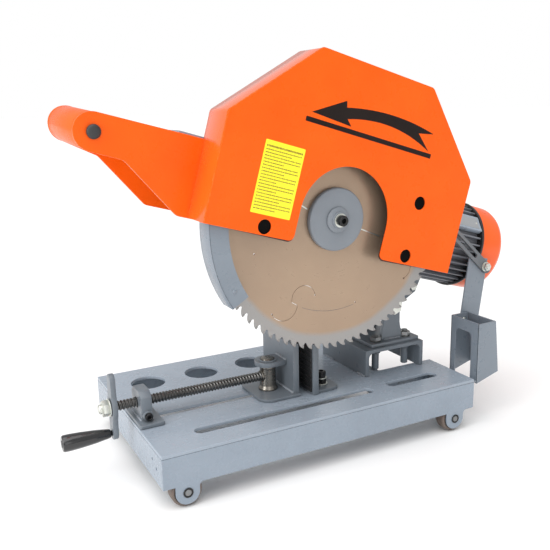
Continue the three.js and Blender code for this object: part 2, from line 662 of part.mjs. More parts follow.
function addSwingArm() {
  const { x0, z0 } = GEARBOX;
  const top = z0 - GAP;
  const pivot = pivotInHead();
  const [inner, outer] = [CHEEK.y0 + CHEEK.thickness + 1 - BLADE_Y, CHEEK.y1 - CHEEK.thickness - 1 - BLADE_Y];
  const deck = box(-30, 96, 56, 190, top - 9, top);
  const ribShape = polygon([[0, top - 5], [pivot.x - 8, pivot.z - 16], [pivot.x + 14, pivot.z + 14], [96, top - 5]]);
  const frontRibShape = polygon([
    [0, top - 5], [pivot.x - 8, pivot.z - 16], [pivot.x + 20, pivot.z - 6], [258, -92], [262, -68], [110, -68], [96, top - 5],
  ]);
  const ribs = [upright(frontRibShape, inner + 6, inner + 16), upright(ribShape, outer - 16, outer - 6)];
  const barrel = bar("y", [pivot.x, 0, pivot.z], PIVOT.barrelRadius, inner, outer);
  const bore = bar("y", [pivot.x, 0, pivot.z], PIVOT.shaftRadius + GAP, inner - 5, outer + 5);
  add(head, "swing_arm", cut(join(deck, ...ribs, barrel), bore), GREY_PAINT);
}

function pivotInHead() {
  const away = new THREE.Vector3(PIVOT.x - BLADE_X, 0, PIVOT.z - BLADE_Z);
  return away.applyAxisAngle(new THREE.Vector3(0, 1, 0), -HEAD_TILT);
}

// ---------------------------------------------------------------- head: handle
function handlePlate(right) {
  const { x, z, end } = GRIP;
  const shape = new THREE.Shape();
  shape.absarc(x, z, end, Math.PI / 2, (3 * Math.PI) / 2, false);
  shape.lineTo(-316, z - end - 1);
  shape.lineTo(-229, -45);
  shape.lineTo(right, -45);
  shape.lineTo(right, 66);
  shape.lineTo(-240, 66);
  shape.closePath();
  return shape;
}

function addHandle() {
  const { x, z, tube, front, rear, plate } = GRIP;
  const hole = (y) => bar("y", [x, 0, z], 8, y - 5, y + 10);
  add(head, "handle_plate_front", cut(upright(handlePlate(-150), front, front + plate), hole(front)), ORANGE_PAINT);
  add(head, "handle_plate_rear", upright(handlePlate(GEARBOX.x0 - 10), rear - plate, rear), ORANGE_PAINT);
  const sleeve = turned("y", [x, 0, z], [
    [12, front + plate + GAP], [tube, front + plate + GAP], [tube, rear - plate - GAP], [12, rear - plate - GAP],
  ], 28);
  add(head, "handle_tube", sleeve, ORANGE_PAINT);

  const bridge = join(
    box(-250, GEARBOX.x0 - GAP, front + plate + GAP, rear - plate - GAP, 62, 69),
    box(GEARBOX.x0 - 8, GEARBOX.x0 - GAP, front + plate + GAP, rear - plate - GAP, -44, 64),
  );
  add(head, "handle_bridge", bridge, GREY_PAINT);

  const switchBody = turned("y", [x, 0, z], [
    [0, front + 8], [11.5, front + 8], [11.5, front + 46], [0, front + 46],
  ]);
  add(head, "start_switch", switchBody, BLACK_PLASTIC);
  const dome = turned("y", [x, 0, z], [
    [0, front - 9], [4, front - 8.4], [7.5, front - 6.6], [9.6, front - 3.9], [9.6, front - 3.3],
    [7, front - 3.3], [7, front + 4], [0, front + 4],
  ]);
  add(head, "start_button", dome, BLACK_PLASTIC);
}

// ---------------------------------------------------------------- head: chip chute
function addChute() {
  const barFront = GUARD.back + GAP;
  const link = slot(212, 52, 358.5, -21.5, 9);
  link.holes.push(slot(250, 33, 330, -7, 3.5));
  link.holes.push(disc(358.5, -21.5, 4.6));
  add(head, "chute_arm", upright(link, barFront, barFront + 5), DARK_GREY);
  const end = [358.5, 0, -21.5];
  add(head, "chute_bolt", boltAlong("y", end, 8, 4.2, barFront - 6, barFront - GAP, barFront + 11), ZINC);

  // The hanger and the chute stand plumb at rest, so they are drawn in the base frame.
  const strapFront = BLADE_Y + barFront + 5 + GAP;
  const strap = polygon([[607, 184], [650, 178], [632, 58], [590, 64]]);
  const away = new THREE.Vector3(end[0], 0, end[2]).applyAxisAngle(new THREE.Vector3(0, 1, 0), HEAD_TILT);
  strap.holes.push(disc(BLADE_X + away.x, BLADE_Z + away.z, 4.6));
  const [front, rear, sheet] = [20, strapFront - GAP, 2.5];
  const rivet = boltAlong("y", [596, 0, 74], 6, 3, rear - sheet - 6, rear - sheet - GAP, strapFront + 5);
  add(base, "chute_hanger", join(upright(strap, strapFront, strapFront + 3), rivet), GREY_PAINT);

  const outer = polygon([[570, -20], [618, -6], [608, 86], [570, 86]]);
  const inner = polygon([[570 + sheet, -40], [618 + 1.5, -40], [606, 86], [605, 100], [570 + sheet, 100]]);
  const mouth = roundedRectangle(38, 77, -60, 66, 9);
  const chute = cut(
    upright(outer, front, rear),
    upright(inner, front + sheet, rear - sheet),
    sideways(mouth, 560, 570 + sheet + 1),
    bar("y", [596, 0, 74], 3.6, rear - 20, rear + 5, 12),
  );
  add(base, "chip_chute", chute, GREY_PAINT);
}

// ---------------------------------------------------------------- assembly
addTable();
WHEELS.forEach(addWheel);
addStand();
addReturnSpring();
addVise();
addUpperGuard();
addLowerGuard();
addBlade();
addGearbox();
addMotor();
addSwingArm();
addHandle();
addChute();

// The exported origin is the centre of the whole object's box, on the floor.
const whole = new THREE.Box3().setFromObject(saw, true);
const middle = whole.getCenter(new THREE.Vector3());
base.position.set(-middle.x, -middle.y, -whole.min.z);

export default saw;
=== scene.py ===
"""Looks of a metal-cutting chop saw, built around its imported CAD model.

Pieces are drawn in millimetres in one of two frames and then placed in the model's own frame, in metres.
BASE: x from the table's left end, y back from its front face, z up from the table's top face.
HEAD: origin at the blade's centre, turned about Y by the head's tilt at rest.
"""
import random
from math import atan2, ceil, cos, degrees, pi, radians, sin, sqrt

import bmesh
import bpy
from mathutils import Matrix, Vector


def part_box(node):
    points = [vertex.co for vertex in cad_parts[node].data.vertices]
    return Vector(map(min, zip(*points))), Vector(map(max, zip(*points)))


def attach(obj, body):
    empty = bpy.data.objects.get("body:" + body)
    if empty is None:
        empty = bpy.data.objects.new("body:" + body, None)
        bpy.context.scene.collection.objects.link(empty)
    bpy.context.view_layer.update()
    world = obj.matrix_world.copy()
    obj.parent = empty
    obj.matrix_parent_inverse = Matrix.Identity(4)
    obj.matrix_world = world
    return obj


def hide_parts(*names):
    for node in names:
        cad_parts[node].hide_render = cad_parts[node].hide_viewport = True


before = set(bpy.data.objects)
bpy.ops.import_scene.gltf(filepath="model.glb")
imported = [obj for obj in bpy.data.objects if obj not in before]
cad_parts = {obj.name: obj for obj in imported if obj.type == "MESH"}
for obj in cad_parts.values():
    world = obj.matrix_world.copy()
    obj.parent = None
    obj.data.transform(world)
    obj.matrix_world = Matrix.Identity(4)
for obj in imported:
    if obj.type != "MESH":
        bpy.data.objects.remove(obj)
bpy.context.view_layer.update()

MM = 0.001
TILT = radians(16)
BLADE_CENTRE = (301, 50, 285)
PIVOT = (462, 112)  # x and z of the hinge, in BASE
SCREW = (131, 28)  # y and z of the lead screw, in BASE
MOTOR = (125, 5)  # y and z of the motor's axis, in HEAD
HANDLE = (-363, 38.5)  # x and z of the handle's sleeve, in HEAD
CHUTE_BOLT = (358.5, -21.5)  # x and z, in HEAD
ARBOR = 15.3  # radius of the bore of the blade, the flanges and the housing
FRONT = -25  # y of the upper guard's front face, in HEAD
EAR = 17.5  # radius of the wheel forks
plate_low, plate_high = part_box("table_plate")
BASE = Matrix.Translation((plate_low.x, plate_low.y, plate_high.z)) @ Matrix.Scale(MM, 4)
HEAD = BASE @ Matrix.Translation(BLADE_CENTRE) @ Matrix.Rotation(TILT, 4, "Y")
HUB = HEAD @ Vector((0, 0, 0))


# ---- finishes
def feed(tree, socket, value):
    """Links a socket to another, or sets it to a constant."""
    if isinstance(value, bpy.types.NodeSocket):
        tree.links.new(value, socket)
    else:
        socket.default_value = value


def node(tree, kind, inputs=(), **settings):
    """A new node with its settings, and its inputs linked or set by name."""
    made = tree.nodes.new(kind)
    for key, value in settings.items():
        setattr(made, key, value)
    for key, value in dict(inputs).items():
        feed(tree, made.inputs[key], value)
    return made


def noise_at(tree, coords, scale, detail=4.0, rough=0.55):
    inputs = {"Vector": coords, "Scale": scale, "Detail": detail, "Roughness": rough}
    return node(tree, "ShaderNodeTexNoise", inputs).outputs["Fac"]


def remap(tree, value, low, high, to_low=0.0, to_high=1.0):
    inputs = {"Value": value, "From Min": low, "From Max": high, "To Min": to_low, "To Max": to_high}
    return node(tree, "ShaderNodeMapRange", inputs, clamp=True).outputs["Result"]


def maths(tree, operation, a, b=0.0):
    made = node(tree, "ShaderNodeMath", operation=operation)
    for socket, value in zip(made.inputs, (a, b)):
        feed(tree, socket, value)
    return made.outputs[0]


def mixed(tree, factor, a, b):
    made = node(tree, "ShaderNodeMix", data_type="RGBA")
    for index, value in ((0, factor), (6, a), (7, b)):  # the factor and the two colours
        feed(tree, made.inputs[index], value)
    return made.outputs[2]


def distance_from(tree, coords, centre, across):
    """Distance from a point, counted only along the directions in across."""
    away = node(tree, "ShaderNodeVectorMath", {0: coords, 1: tuple(centre)}, operation="SUBTRACT")
    flat = node(tree, "ShaderNodeVectorMath", {0: away.outputs[0], 1: across}, operation="MULTIPLY")
    return node(tree, "ShaderNodeVectorMath", {0: flat.outputs[0]}, operation="LENGTH").outputs["Value"]


FINISH = {}
# Colour of the painted shade in corners, creases and gaps, which stands for grime as well.
SHADE_AND_DIRT_COLOUR = (0.045, 0.042, 0.04, 1)
BUMP_DEPTH = 0.0002
COAT_ROUGHNESS = 0.12


def finish(name, colour, other, rough, metallic=0.0, drift=14.0, grain=(1100.0, 0.06), edge=None, shade_and_grime=0.0,
        coat=0.0, rings=None, brushed=None, sheen=0.5):
    """A procedural finish.

    Its colour drifts between two, its roughness varies, and a fine grain bumps it. edge is (colour, amount)
    for worn edges, the shade-and-grime amount darkens corners, creases and gaps found by ambient occlusion:
    painted shade, broken up by noise so that it also reads as grime. coat is a clear lacquer, and rings turns
    fine lathe marks about (centre, directions across the axis). brushed stretches the grain by a vector, and
    sheen is the strength of the reflections.
    """
    mat = bpy.data.materials.new(name)
    mat.use_nodes = True
    tree = mat.node_tree
    shader = tree.nodes["Principled BSDF"]
    coords = node(tree, "ShaderNodeTexCoord").outputs["Object"]
    drifting = remap(tree, noise_at(tree, coords, drift, 5.0), 0.32, 0.68)
    base = mixed(tree, drifting, (*colour, 1), (*other, 1))
    patches = noise_at(tree, coords, 55.0, 6.0, 0.65)
    roughness = remap(tree, patches, 0.3, 0.72, rough[0], rough[1])
    fine_coords = coords
    if brushed:
        stretch = node(tree, "ShaderNodeVectorMath", {0: coords, 1: brushed}, operation="MULTIPLY")
        fine_coords = stretch.outputs[0]
    fine = noise_at(tree, fine_coords, grain[0], 3.0)
    if rings:
        radius = distance_from(tree, coords, *rings)
        turned = node(tree, "ShaderNodeTexNoise", {"W": radius, "Scale": 1800.0, "Detail": 3.0},
            noise_dimensions="1D")
        fine = maths(tree, "ADD", maths(tree, "MULTIPLY", fine, 0.25), turned.outputs["Fac"])
        roughness = maths(tree, "ADD", roughness, remap(tree, turned.outputs["Fac"], 0.3, 0.7, -0.05, 0.06))
    # Painted shade: the colour darkens where ambient occlusion finds corners, creases and gaps between parts,
    # patchy like grime.
    if shade_and_grime:
        shade = node(tree, "ShaderNodeAmbientOcclusion", {"Distance": 0.012}, samples=6).outputs["AO"]
        shade_and_dirt_mask = maths(tree, "MULTIPLY", remap(tree, shade, 0.75, 0.25), remap(tree, patches, 0.3, 0.7, 0.3,
            1.0))
        base = mixed(tree, maths(tree, "MULTIPLY", shade_and_dirt_mask, shade_and_grime), base, SHADE_AND_DIRT_COLOUR)
    if edge:
        rounded = node(tree, "ShaderNodeBevel", {"Radius": 0.0011}, samples=4).outputs["Normal"]
        facing = node(tree, "ShaderNodeNewGeometry").outputs["Normal"]
        agree = node(tree, "ShaderNodeVectorMath", {0: rounded, 1: facing},
            operation="DOT_PRODUCT").outputs["Value"]
        chips = remap(tree, noise_at(tree, coords, 170.0, 5.0, 0.7), 0.5, 0.66)
        worn = maths(tree, "MULTIPLY", remap(tree, agree, 0.985, 0.9), maths(tree, "MULTIPLY", chips,
            edge[1]))
        base = mixed(tree, worn, base, (*edge[0], 1))
        roughness = maths(tree, "ADD", roughness, maths(tree, "MULTIPLY", worn, 0.12))
    tree.links.new(base, shader.inputs["Base Color"])
    tree.links.new(roughness, shader.inputs["Roughness"])
    bump = node(tree, "ShaderNodeBump", {"Height": fine, "Strength": grain[1], "Distance": BUMP_DEPTH})
    tree.links.new(bump.outputs[0], shader.inputs["Normal"])
    shader.inputs["Metallic"].default_value = metallic
    shader.inputs["Specular IOR Level"].default_value = sheen
    if coat:
        shader.inputs["Coat Weight"].default_value = coat
        shader.inputs["Coat Roughness"].default_value = COAT_ROUGHNESS
    FINISH[name] = mat
    return mat


def make_finishes():
    """Every paint, metal and moulding of the machine."""
    finish("orange_paint", (0.98, 0.125, 0.006), (0.93, 0.108, 0.004), (0.24, 0.36), grain=(900.0, 0.04),
        edge=((1.0, 0.36, 0.16), 0.5), shade_and_grime=0.3, sheen=0.16)
    finish("orange_gloss", (0.98, 0.13, 0.01), (0.94, 0.115, 0.008), (0.2, 0.3), grain=(900.0, 0.04),
        edge=((1.0, 0.36, 0.16), 0.5), coat=1.0)
    finish("orange_satin", (0.98, 0.13, 0.008), (0.94, 0.112, 0.006), (0.26, 0.36), grain=(900.0, 0.04),
        edge=((1.0, 0.36, 0.16), 0.5), shade_and_grime=0.3, coat=0.2)
    # Near-black brown for the guard's interior: painted shade in place of the orange paint inside.
    finish("guard_inside_painted_shade", (0.05, 0.018, 0.012), (0.03, 0.012, 0.01), (0.5, 0.65), grain=(900.0, 0.08),
        shade_and_grime=0.5)
    # blue_grey_lit_copy, blue_grey_half_shaded_copy and blue_grey_shaded_copy are lit and shaded copies of
    # blue_grey_paint: painted light on the table top and motor pad, painted shade on the jaws, stand,
    # bracket, studs, nut block, crank, swing arm, lower guard and chute.
    finish("blue_grey_paint", (0.29, 0.345, 0.41), (0.255, 0.305, 0.365), (0.22, 0.34), grain=(700.0, 0.06),
        edge=((0.5, 0.52, 0.54), 0.6), shade_and_grime=0.45, coat=0.1)
    finish("blue_grey_lit_copy", (0.33, 0.385, 0.45), (0.295, 0.345, 0.405), (0.2, 0.32), grain=(700.0, 0.04),
        edge=((0.52, 0.54, 0.56), 0.6), shade_and_grime=0.4)
    finish("blue_grey_half_shaded_copy", (0.225, 0.262, 0.305), (0.195, 0.228, 0.268), (0.24, 0.36), grain=(700.0, 0.07),
        edge=((0.47, 0.49, 0.51), 0.6), shade_and_grime=0.45)
    finish("blue_grey_shaded_copy", (0.165, 0.19, 0.218), (0.138, 0.16, 0.184), (0.26, 0.4), grain=(700.0, 0.09),
        edge=((0.45, 0.47, 0.49), 0.7), shade_and_grime=0.5)
    finish("dark_grey_paint", (0.16, 0.175, 0.19), (0.12, 0.132, 0.145), (0.36, 0.5), grain=(600.0, 0.12),
        edge=((0.42, 0.40, 0.38), 0.6), shade_and_grime=0.4)
    finish("cast_grey", (0.2, 0.215, 0.23), (0.15, 0.163, 0.176), (0.4, 0.56), metallic=0.25,
        grain=(420.0, 0.25), edge=((0.45, 0.46, 0.47), 0.5), shade_and_grime=0.5)
    # The motor's large shade-and-grime amount paints deep shade into the gaps between its fins.
    finish("motor_paint", (0.2, 0.212, 0.24), (0.165, 0.175, 0.2), (0.28, 0.42), grain=(500.0, 0.12),
        edge=((0.42, 0.43, 0.45), 0.5), shade_and_grime=0.85)
    finish("black_paint", (0.012, 0.012, 0.013), (0.02, 0.02, 0.021), (0.3, 0.45), grain=(700.0, 0.08),
        edge=((0.16, 0.16, 0.16), 0.6))
    finish("bright_steel", (0.52, 0.51, 0.49), (0.43, 0.42, 0.4), (0.24, 0.38), metallic=1.0,
        grain=(1400.0, 0.1))
    finish("blade_tip", (0.36, 0.35, 0.34), (0.24, 0.235, 0.23), (0.3, 0.45), metallic=1.0,
        grain=(1500.0, 0.12))
    finish("oiled_steel", (0.2, 0.196, 0.19), (0.11, 0.108, 0.105), (0.24, 0.38), metallic=1.0,
        grain=(1300.0, 0.1))
    finish("barrel_steel", (0.25, 0.232, 0.205), (0.18, 0.168, 0.15), (0.22, 0.34), metallic=1.0,
        grain=(260.0, 0.08), brushed=(1.0, 1.0, 9.0))
    finish("zinc_plate", (0.74, 0.75, 0.69), (0.6, 0.62, 0.58), (0.24, 0.4), metallic=0.9,
        grain=(900.0, 0.08))
    finish("steel_nut", (0.3, 0.31, 0.31), (0.2, 0.205, 0.21), (0.3, 0.45), metallic=0.8, grain=(900.0, 0.1))
    finish("black_oxide", (0.018, 0.018, 0.02), (0.035, 0.034, 0.033), (0.28, 0.42), metallic=0.6,
        grain=(900.0, 0.12), edge=((0.3, 0.3, 0.3), 0.5))
    finish("black_plastic", (0.010, 0.010, 0.011), (0.016, 0.016, 0.018), (0.14, 0.26), grain=(500.0, 0.03),
        coat=0.5)
    finish("rubber_black", (0.022, 0.022, 0.024), (0.034, 0.034, 0.036), (0.42, 0.58), grain=(800.0, 0.15))
    finish("wheel_polymer", (0.19, 0.145, 0.12), (0.145, 0.11, 0.092), (0.45, 0.65), grain=(520.0, 0.2),
        shade_and_grime=0.6)
    finish("copper_winding", (0.6, 0.26, 0.1), (0.45, 0.18, 0.07), (0.3, 0.45), metallic=0.8,
        grain=(700.0, 0.3))
    # Near-black with little reflection, for sheets and discs behind holes: painted shade seen through them.
    finish("black_painted_shade", (0.003, 0.003, 0.003), (0.006, 0.006, 0.006), (0.7, 0.9), sheen=0.05)
    finish("label_yellow", (1.0, 0.93, 0.025), (0.98, 0.88, 0.02), (0.3, 0.42), grain=(400.0, 0.03))
    finish("label_ink", (0.2, 0.11, 0.01), (0.26, 0.15, 0.015), (0.4, 0.5))
    finish("arrow_black", (0.014, 0.009, 0.008), (0.02, 0.014, 0.012), (0.34, 0.46), grain=(500.0, 0.04),
        sheen=0.12)
    finish("nameplate", (0.56, 0.58, 0.6), (0.48, 0.5, 0.52), (0.26, 0.36), metallic=0.85, grain=(500.0, 0.1),
        brushed=(1.0, 12.0, 12.0))
    finish("weld_bead", (0.3, 0.33, 0.37), (0.22, 0.245, 0.27), (0.3, 0.42), grain=(500.0, 0.2))
    turned = (HUB, (1.0, 0.0, 1.0))
    finish("flange_paint", (0.225, 0.25, 0.28), (0.2, 0.222, 0.25), (0.3, 0.42), grain=(800.0, 0.05),
        rings=turned, shade_and_grime=0.3)
    make_blade_finish(turned)


def make_blade_finish(turned):
    """Lacquered tan steel with a bare ground band at the rim."""
    mat = finish("blade_steel", (0.42, 0.305, 0.215), (0.36, 0.262, 0.19), (0.3, 0.42), metallic=0.6,
        drift=5.0, grain=(1300.0, 0.05), rings=turned)
    tree = mat.node_tree
    shader = tree.nodes["Principled BSDF"]
    tinted = shader.inputs["Base Color"].links[0].from_socket
    coords = next(n for n in tree.nodes if n.type == "TEX_COORD").outputs["Object"]
    radius = distance_from(tree, coords, *turned)
    wavy = maths(tree, "ADD", radius, remap(tree, noise_at(tree, coords, 22.0), 0.3, 0.7, -0.0012, 0.0012))
    ground = remap(tree, wavy, 0.173, 0.181)
    tree.links.new(mixed(tree, ground, tinted, (0.34, 0.33, 0.32, 1)), shader.inputs["Base Color"])


# ---- outlines, in millimetres
def arc(cx, cy, radius, start, end, step=5.0):
    """Points of an arc, with its angles in degrees."""
    count = max(2, ceil(abs(end - start) / step))
    angles = [radians(start + (end - start) * i / count) for i in range(count + 1)]
    return [(cx + radius * cos(a), cy + radius * sin(a)) for a in angles]


def circle(cx, cy, radius, step=6.0):
    return arc(cx, cy, radius, 0, 360, step)[:-1]


def stadium(x0, y0, x1, y1, radius):
    """A slot or link: two round ends and straight sides."""
    along = degrees(atan2(y1 - y0, x1 - x0))
    return arc(x1, y1, radius, along - 90, along + 90) + arc(x0, y0, radius, along + 90, along + 270)


def rectangle(x0, x1, y0, y1, radius=0.0):
    corners = [(x0, y0), (x1, y0), (x1, y1), (x0, y1)]
    return soften(corners, radius) if radius else corners


def soften(points, radius, closed=True, steps=4):
    """The same line with each corner rounded."""
    made = []
    for i, corner in enumerate(points):
        here = Vector(corner)
        if not closed and i in (0, len(points) - 1):
            made.append(tuple(here))
            continue
        back, on = Vector(points[i - 1]) - here, Vector(points[(i + 1) % len(points)]) - here
        reach = min(radius, back.length / 2.05, on.length / 2.05)
        start, end = here + back.normalized() * reach, here + on.normalized() * reach
        for k in range(steps + 1):
            t = k / steps
            made.append(tuple(start * (1 - t) ** 2 + here * (2 * t * (1 - t)) + end * t * t))
    return made


# ---- pieces
FACING = {  # how a drawing's x, y and thickness lie, for a plate across each axis
    "x": Matrix(((0, 0, 1), (1, 0, 0), (0, 1, 0))).to_4x4(),
    "y": Matrix(((1, 0, 0), (0, 0, -1), (0, 1, 0))).to_4x4(),
    "z": Matrix.Identity(4),
}
ALONG = {**FACING, "y": Matrix(((0, 1, 0), (0, 0, 1), (1, 0, 0))).to_4x4()}  # how a lathe's own z axis lies


SLOTS = {  # the slot of a piece whose main finish has another name
    "blue_grey_lit_copy": "blue_grey_paint", "blue_grey_half_shaded_copy": "blue_grey_paint",
    "blue_grey_shaded_copy": "blue_grey_paint",
    "orange_gloss": "orange_paint", "orange_satin": "orange_paint", "oiled_steel": "dark_steel",
    "barrel_steel": "dark_steel", "cast_grey": "cast_aluminium", "motor_paint": "cast_aluminium",
}


def ring(made, radius, place, steps, turn=0.0):
    """A ring of vertices about z, or one vertex where the radius is nothing."""
    if radius < 1e-6:
        return [made.verts.new((0, 0, place))]
    angles = [turn + 2 * pi * i / steps for i in range(steps)]
    return [made.verts.new((radius * cos(a), radius * sin(a), place)) for a in angles]


def stitch(made, rings, closed=False, capped=False):
    """Faces between neighbouring rings."""
    for low, high in [*zip(rings, rings[1:]), *([(rings[-1], rings[0])] if closed else [])]:
        steps = max(len(low), len(high))
        for i in range(steps):
            j = (i + 1) % steps
            corners = [low[i % len(low)], low[j % len(low)], high[j % len(high)], high[i % len(high)]]
            corners = list(dict.fromkeys(corners))
            if len(corners) > 2:
                made.faces.new(corners)
    if capped:
        made.faces.new(rings[0])
        made.faces.new(rings[-1])


class Piece:
    """One object that is put together from plates, turned bodies, threads and welds in millimetres."""

    def __init__(self, name, looks, stands_for=None, slot=None, body="base", where=BASE):
        self.name, self.body, self.where = name, body, where
        self.replaced = [stands_for] if stands_for else []
        self.slot = slot or SLOTS.get(looks, looks)
        self.mesh = bmesh.new()
        self.looks = [looks]
        self.current = 0

    def use(self, looks):
        """What follows is in this finish."""
        if looks not in self.looks:
            self.looks.append(looks)
        self.current = self.looks.index(looks)
        return self

    def take(self, mesh, matrix):
        """Adds a mesh, then removes it."""
        mesh.transform(matrix)
        old = len(self.mesh.faces)
        self.mesh.from_mesh(mesh)
        self.mesh.faces.ensure_lookup_table()
        for face in self.mesh.faces[old:]:
            face.material_index = self.current
        bpy.data.meshes.remove(mesh)
        return self

    def plate(self, axis, outline, start, end, holes=(), bevel=0.4):
        """A flat plate across an axis, from start to end along it, with broken edges."""
        curve = bpy.data.curves.new("outline", "CURVE")
        curve.dimensions, curve.fill_mode = "2D", "BOTH"
        bevel = min(bevel, (end - start) * 0.3)
        curve.extrude = (end - start) / 2 - bevel
        curve.bevel_depth, curve.bevel_resolution, curve.offset = bevel, 1, -bevel
        for loop in [outline, *holes]:
            spline = curve.splines.new("POLY")
            spline.points.add(len(loop) - 1)
            for point, (x, y) in zip(spline.points, loop):
                point.co = (x, y, 0, 1)
            spline.use_cyclic_u = True
        holder = bpy.data.objects.new("outline", curve)
        mesh = bpy.data.meshes.new_from_object(holder)
        bpy.data.objects.remove(holder)
        bpy.data.curves.remove(curve)
        middle = (start + end) / 2 * (-1 if axis == "y" else 1)
        return self.take(mesh, FACING[axis] @ Matrix.Translation((0, 0, middle)))

    def block(self, x, y, z, bevel=0.5):
        """A box with broken edges, from three pairs of limits."""
        return self.plate("z", rectangle(*x, *y, bevel), *z, bevel=bevel)

    def turned(self, axis, at, profile, steps=56, round_by=0.5, closed=False):
        """A body of revolution from (radius, place) pairs, from axis to axis unless it is closed."""
        if round_by:
            profile = soften(profile, round_by, closed=closed, steps=2)
        made = bmesh.new()
        stitch(made, [ring(made, radius, place, steps) for radius, place in profile], closed)
        return self.add(made, axis, at)

    def add(self, made, axis, at):
        """Adds a bmesh that was drawn about z, turned to lie along an axis through a point."""
        bmesh.ops.recalc_face_normals(made, faces=made.faces)
        mesh = bpy.data.meshes.new("turned")
        made.to_mesh(mesh)
        made.free()
        shift = Matrix.Translation([0 if axis == name else value for name, value in zip("xyz", at)])
        return self.take(mesh, shift @ ALONG[axis])

    def thread(self, axis, at, core, crest, pitch, start, end, steps=28):
        """A real helical thread, cut flat at both ends."""
        made = bmesh.new()
        across = [(core, 0.0), (crest, 0.28), (crest, 0.52), (core, 0.8)]
        total = ceil(((end - start) / pitch + 2) * steps)
        grid = []
        for i in range(total):
            angle = 2 * pi * i / steps
            row = []
            for radius, share in across:
                place = start - pitch + pitch * (i / steps + share)
                out = radius if start <= place <= end else core
                place = min(max(place, start), end)
                row.append(made.verts.new((out * cos(angle), out * sin(angle), place)))
            grid.append(row)
        for i in range(total - 1):
            ahead = i + steps
            for k in range(3):
                made.faces.new((grid[i][k], grid[i + 1][k], grid[i + 1][k + 1], grid[i][k + 1]))
            if ahead + 1 < total:
                made.faces.new((grid[i][3], grid[i + 1][3], grid[ahead + 1][0], grid[ahead][0]))
        return self.add(made, axis, at)

    def stud(self, at, low, high, core=4.3, crest=5.0, pitch=1.5):
        """An upright threaded end; its core starts 1 mm lower."""
        self.thread("z", at, core, crest, pitch, low, high, steps=20)
        return self.turned("z", at, [(0, low - 1), (core, low - 1), (core, high), (0, high)])

    def hexagon(self, axis, at, across_flats, start, end, chamfer=0.8, turn=0.0):
        """A nut or bolt head with chamfered corners."""
        low, high = min(start, end), max(start, end)
        corner = across_flats / sqrt(3)
        made = bmesh.new()
        edge = corner * 0.93
        levels = [(edge, low), (corner, low + chamfer), (corner, high - chamfer), (edge, high)]
        stitch(made, [ring(made, radius, place, 6, radians(turn)) for radius, place in levels], capped=True)
        return self.add(made, axis, at)

    def washer(self, axis, at, radius, start, thickness=1.6):
        end = start + thickness
        return self.turned(axis, at, [(0, start), (radius, start), (radius, end), (0, end)])

    def socket_head(self, axis, at, radius, start, end, key=0.5):
        """A knurled cylindrical head with a hexagon socket; start is its seat."""
        out = 1 if end > start else -1
        deep = end - out * radius * 0.8
        inner = radius * key
        profile = [(0, start), (radius, start), (radius, end - out), (radius - 0.8, end), (inner + 0.4, end),
            (inner, end - out * 0.5)]
        self.turned(axis, at, profile, round_by=0.3)
        self.turned(axis, at, [(inner, end - out * 0.5), (inner, deep), (0, deep)], steps=6, round_by=0)
        ridges = 28
        made = bmesh.new()
        for i in range(ridges):
            angle = 2 * pi * i / ridges
            rib = Matrix.Rotation(angle, 4, "Z") @ Matrix.Translation((radius, 0, (start + end) / 2))
            rib = rib @ Matrix.Diagonal((0.45, 0.5, abs(end - start) * 0.72, 1))
            bmesh.ops.create_cube(made, size=1.0, matrix=rib)
        return self.add(made, axis, at)

    def rod(self, points, radius, sides=12):
        """A round wire or bar along a line of points."""
        made = bmesh.new()
        points = [Vector(p) for p in points]
        rings = []
        normal = None
        for i, point in enumerate(points):
            ahead = points[min(i + 1, len(points) - 1)] - points[max(i - 1, 0)]
            ahead.normalize()
            if normal is None:
                normal = ahead.orthogonal().normalized()
            normal = (normal - ahead * normal.dot(ahead)).normalized()
            side = ahead.cross(normal)
            turn = [2 * pi * k / sides for k in range(sides)]
            rings.append([made.verts.new(point + (normal * cos(a) + side * sin(a)) * radius) for a in turn])
        stitch(made, rings, capped=True)
        return self.add(made, "z", (0, 0, 0))

    def weld(self, points, radius=1.8, seed=1):
        """A bead of overlapping ripples along a line."""
        chance = random.Random(seed)
        around, levels, squash = 10, 5, 0.62
        verts, faces = [], []
        points = [Vector(p) for p in points]
        for a, b in zip(points, points[1:]):
            count = max(2, round((b - a).length / (radius * 0.8)))
            turn = (b - a).to_track_quat("X", "Z").to_matrix()
            for i in range(count + 1):
                size = radius * chance.uniform(0.88, 1.1)
                middle, first = a.lerp(b, i / count), len(verts)
                verts.append(middle + turn @ Vector((-squash * size, 0, 0)))
                for level in range(1, levels):
                    up = pi * level / levels
                    for k in range(around):
                        side = 2 * pi * k / around
                        local = Vector((-squash * cos(up), sin(up) * cos(side), sin(up) * sin(side)))
                        verts.append(middle + turn @ (local * size))
                verts.append(middle + turn @ Vector((squash * size, 0, 0)))
                for k in range(around):
                    n = (k + 1) % around
                    faces.append((first, first + 1 + n, first + 1 + k))
                    for level in range(levels - 2):
                        row = first + 1 + level * around
                        faces.append((row + k, row + n, row + around + n, row + around + k))
                    row = first + 1 + (levels - 2) * around
                    faces.append((row + k, row + n, first + 1 + (levels - 1) * around))
        mesh = bpy.data.meshes.new("weld")
        mesh.from_pydata(verts, [], faces)
        was = self.current
        self.use("weld_bead" if "grey" in self.looks[0] else self.looks[0])
        self.take(mesh, Matrix.Identity(4))
        self.current = was
        return self

    def done(self, sharp=32.0):
        """Makes the object in the model's frame, and lets it ride on its body."""
        for face in self.mesh.faces:
            face.smooth = True
        for edge in self.mesh.edges:
            if len(edge.link_faces) == 2 and edge.calc_face_angle(0.0) > radians(sharp):
                edge.smooth = False
        data = bpy.data.meshes.new(self.name)
        self.mesh.to_mesh(data)
        self.mesh.free()
        data.transform(self.where)
        for looks in self.looks:
            data.materials.append(FINISH[looks])
        made = bpy.data.objects.new(self.name, data)
        bpy.context.scene.collection.objects.link(made)
        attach(made, self.body)
        if self.replaced:
            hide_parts(*self.replaced)


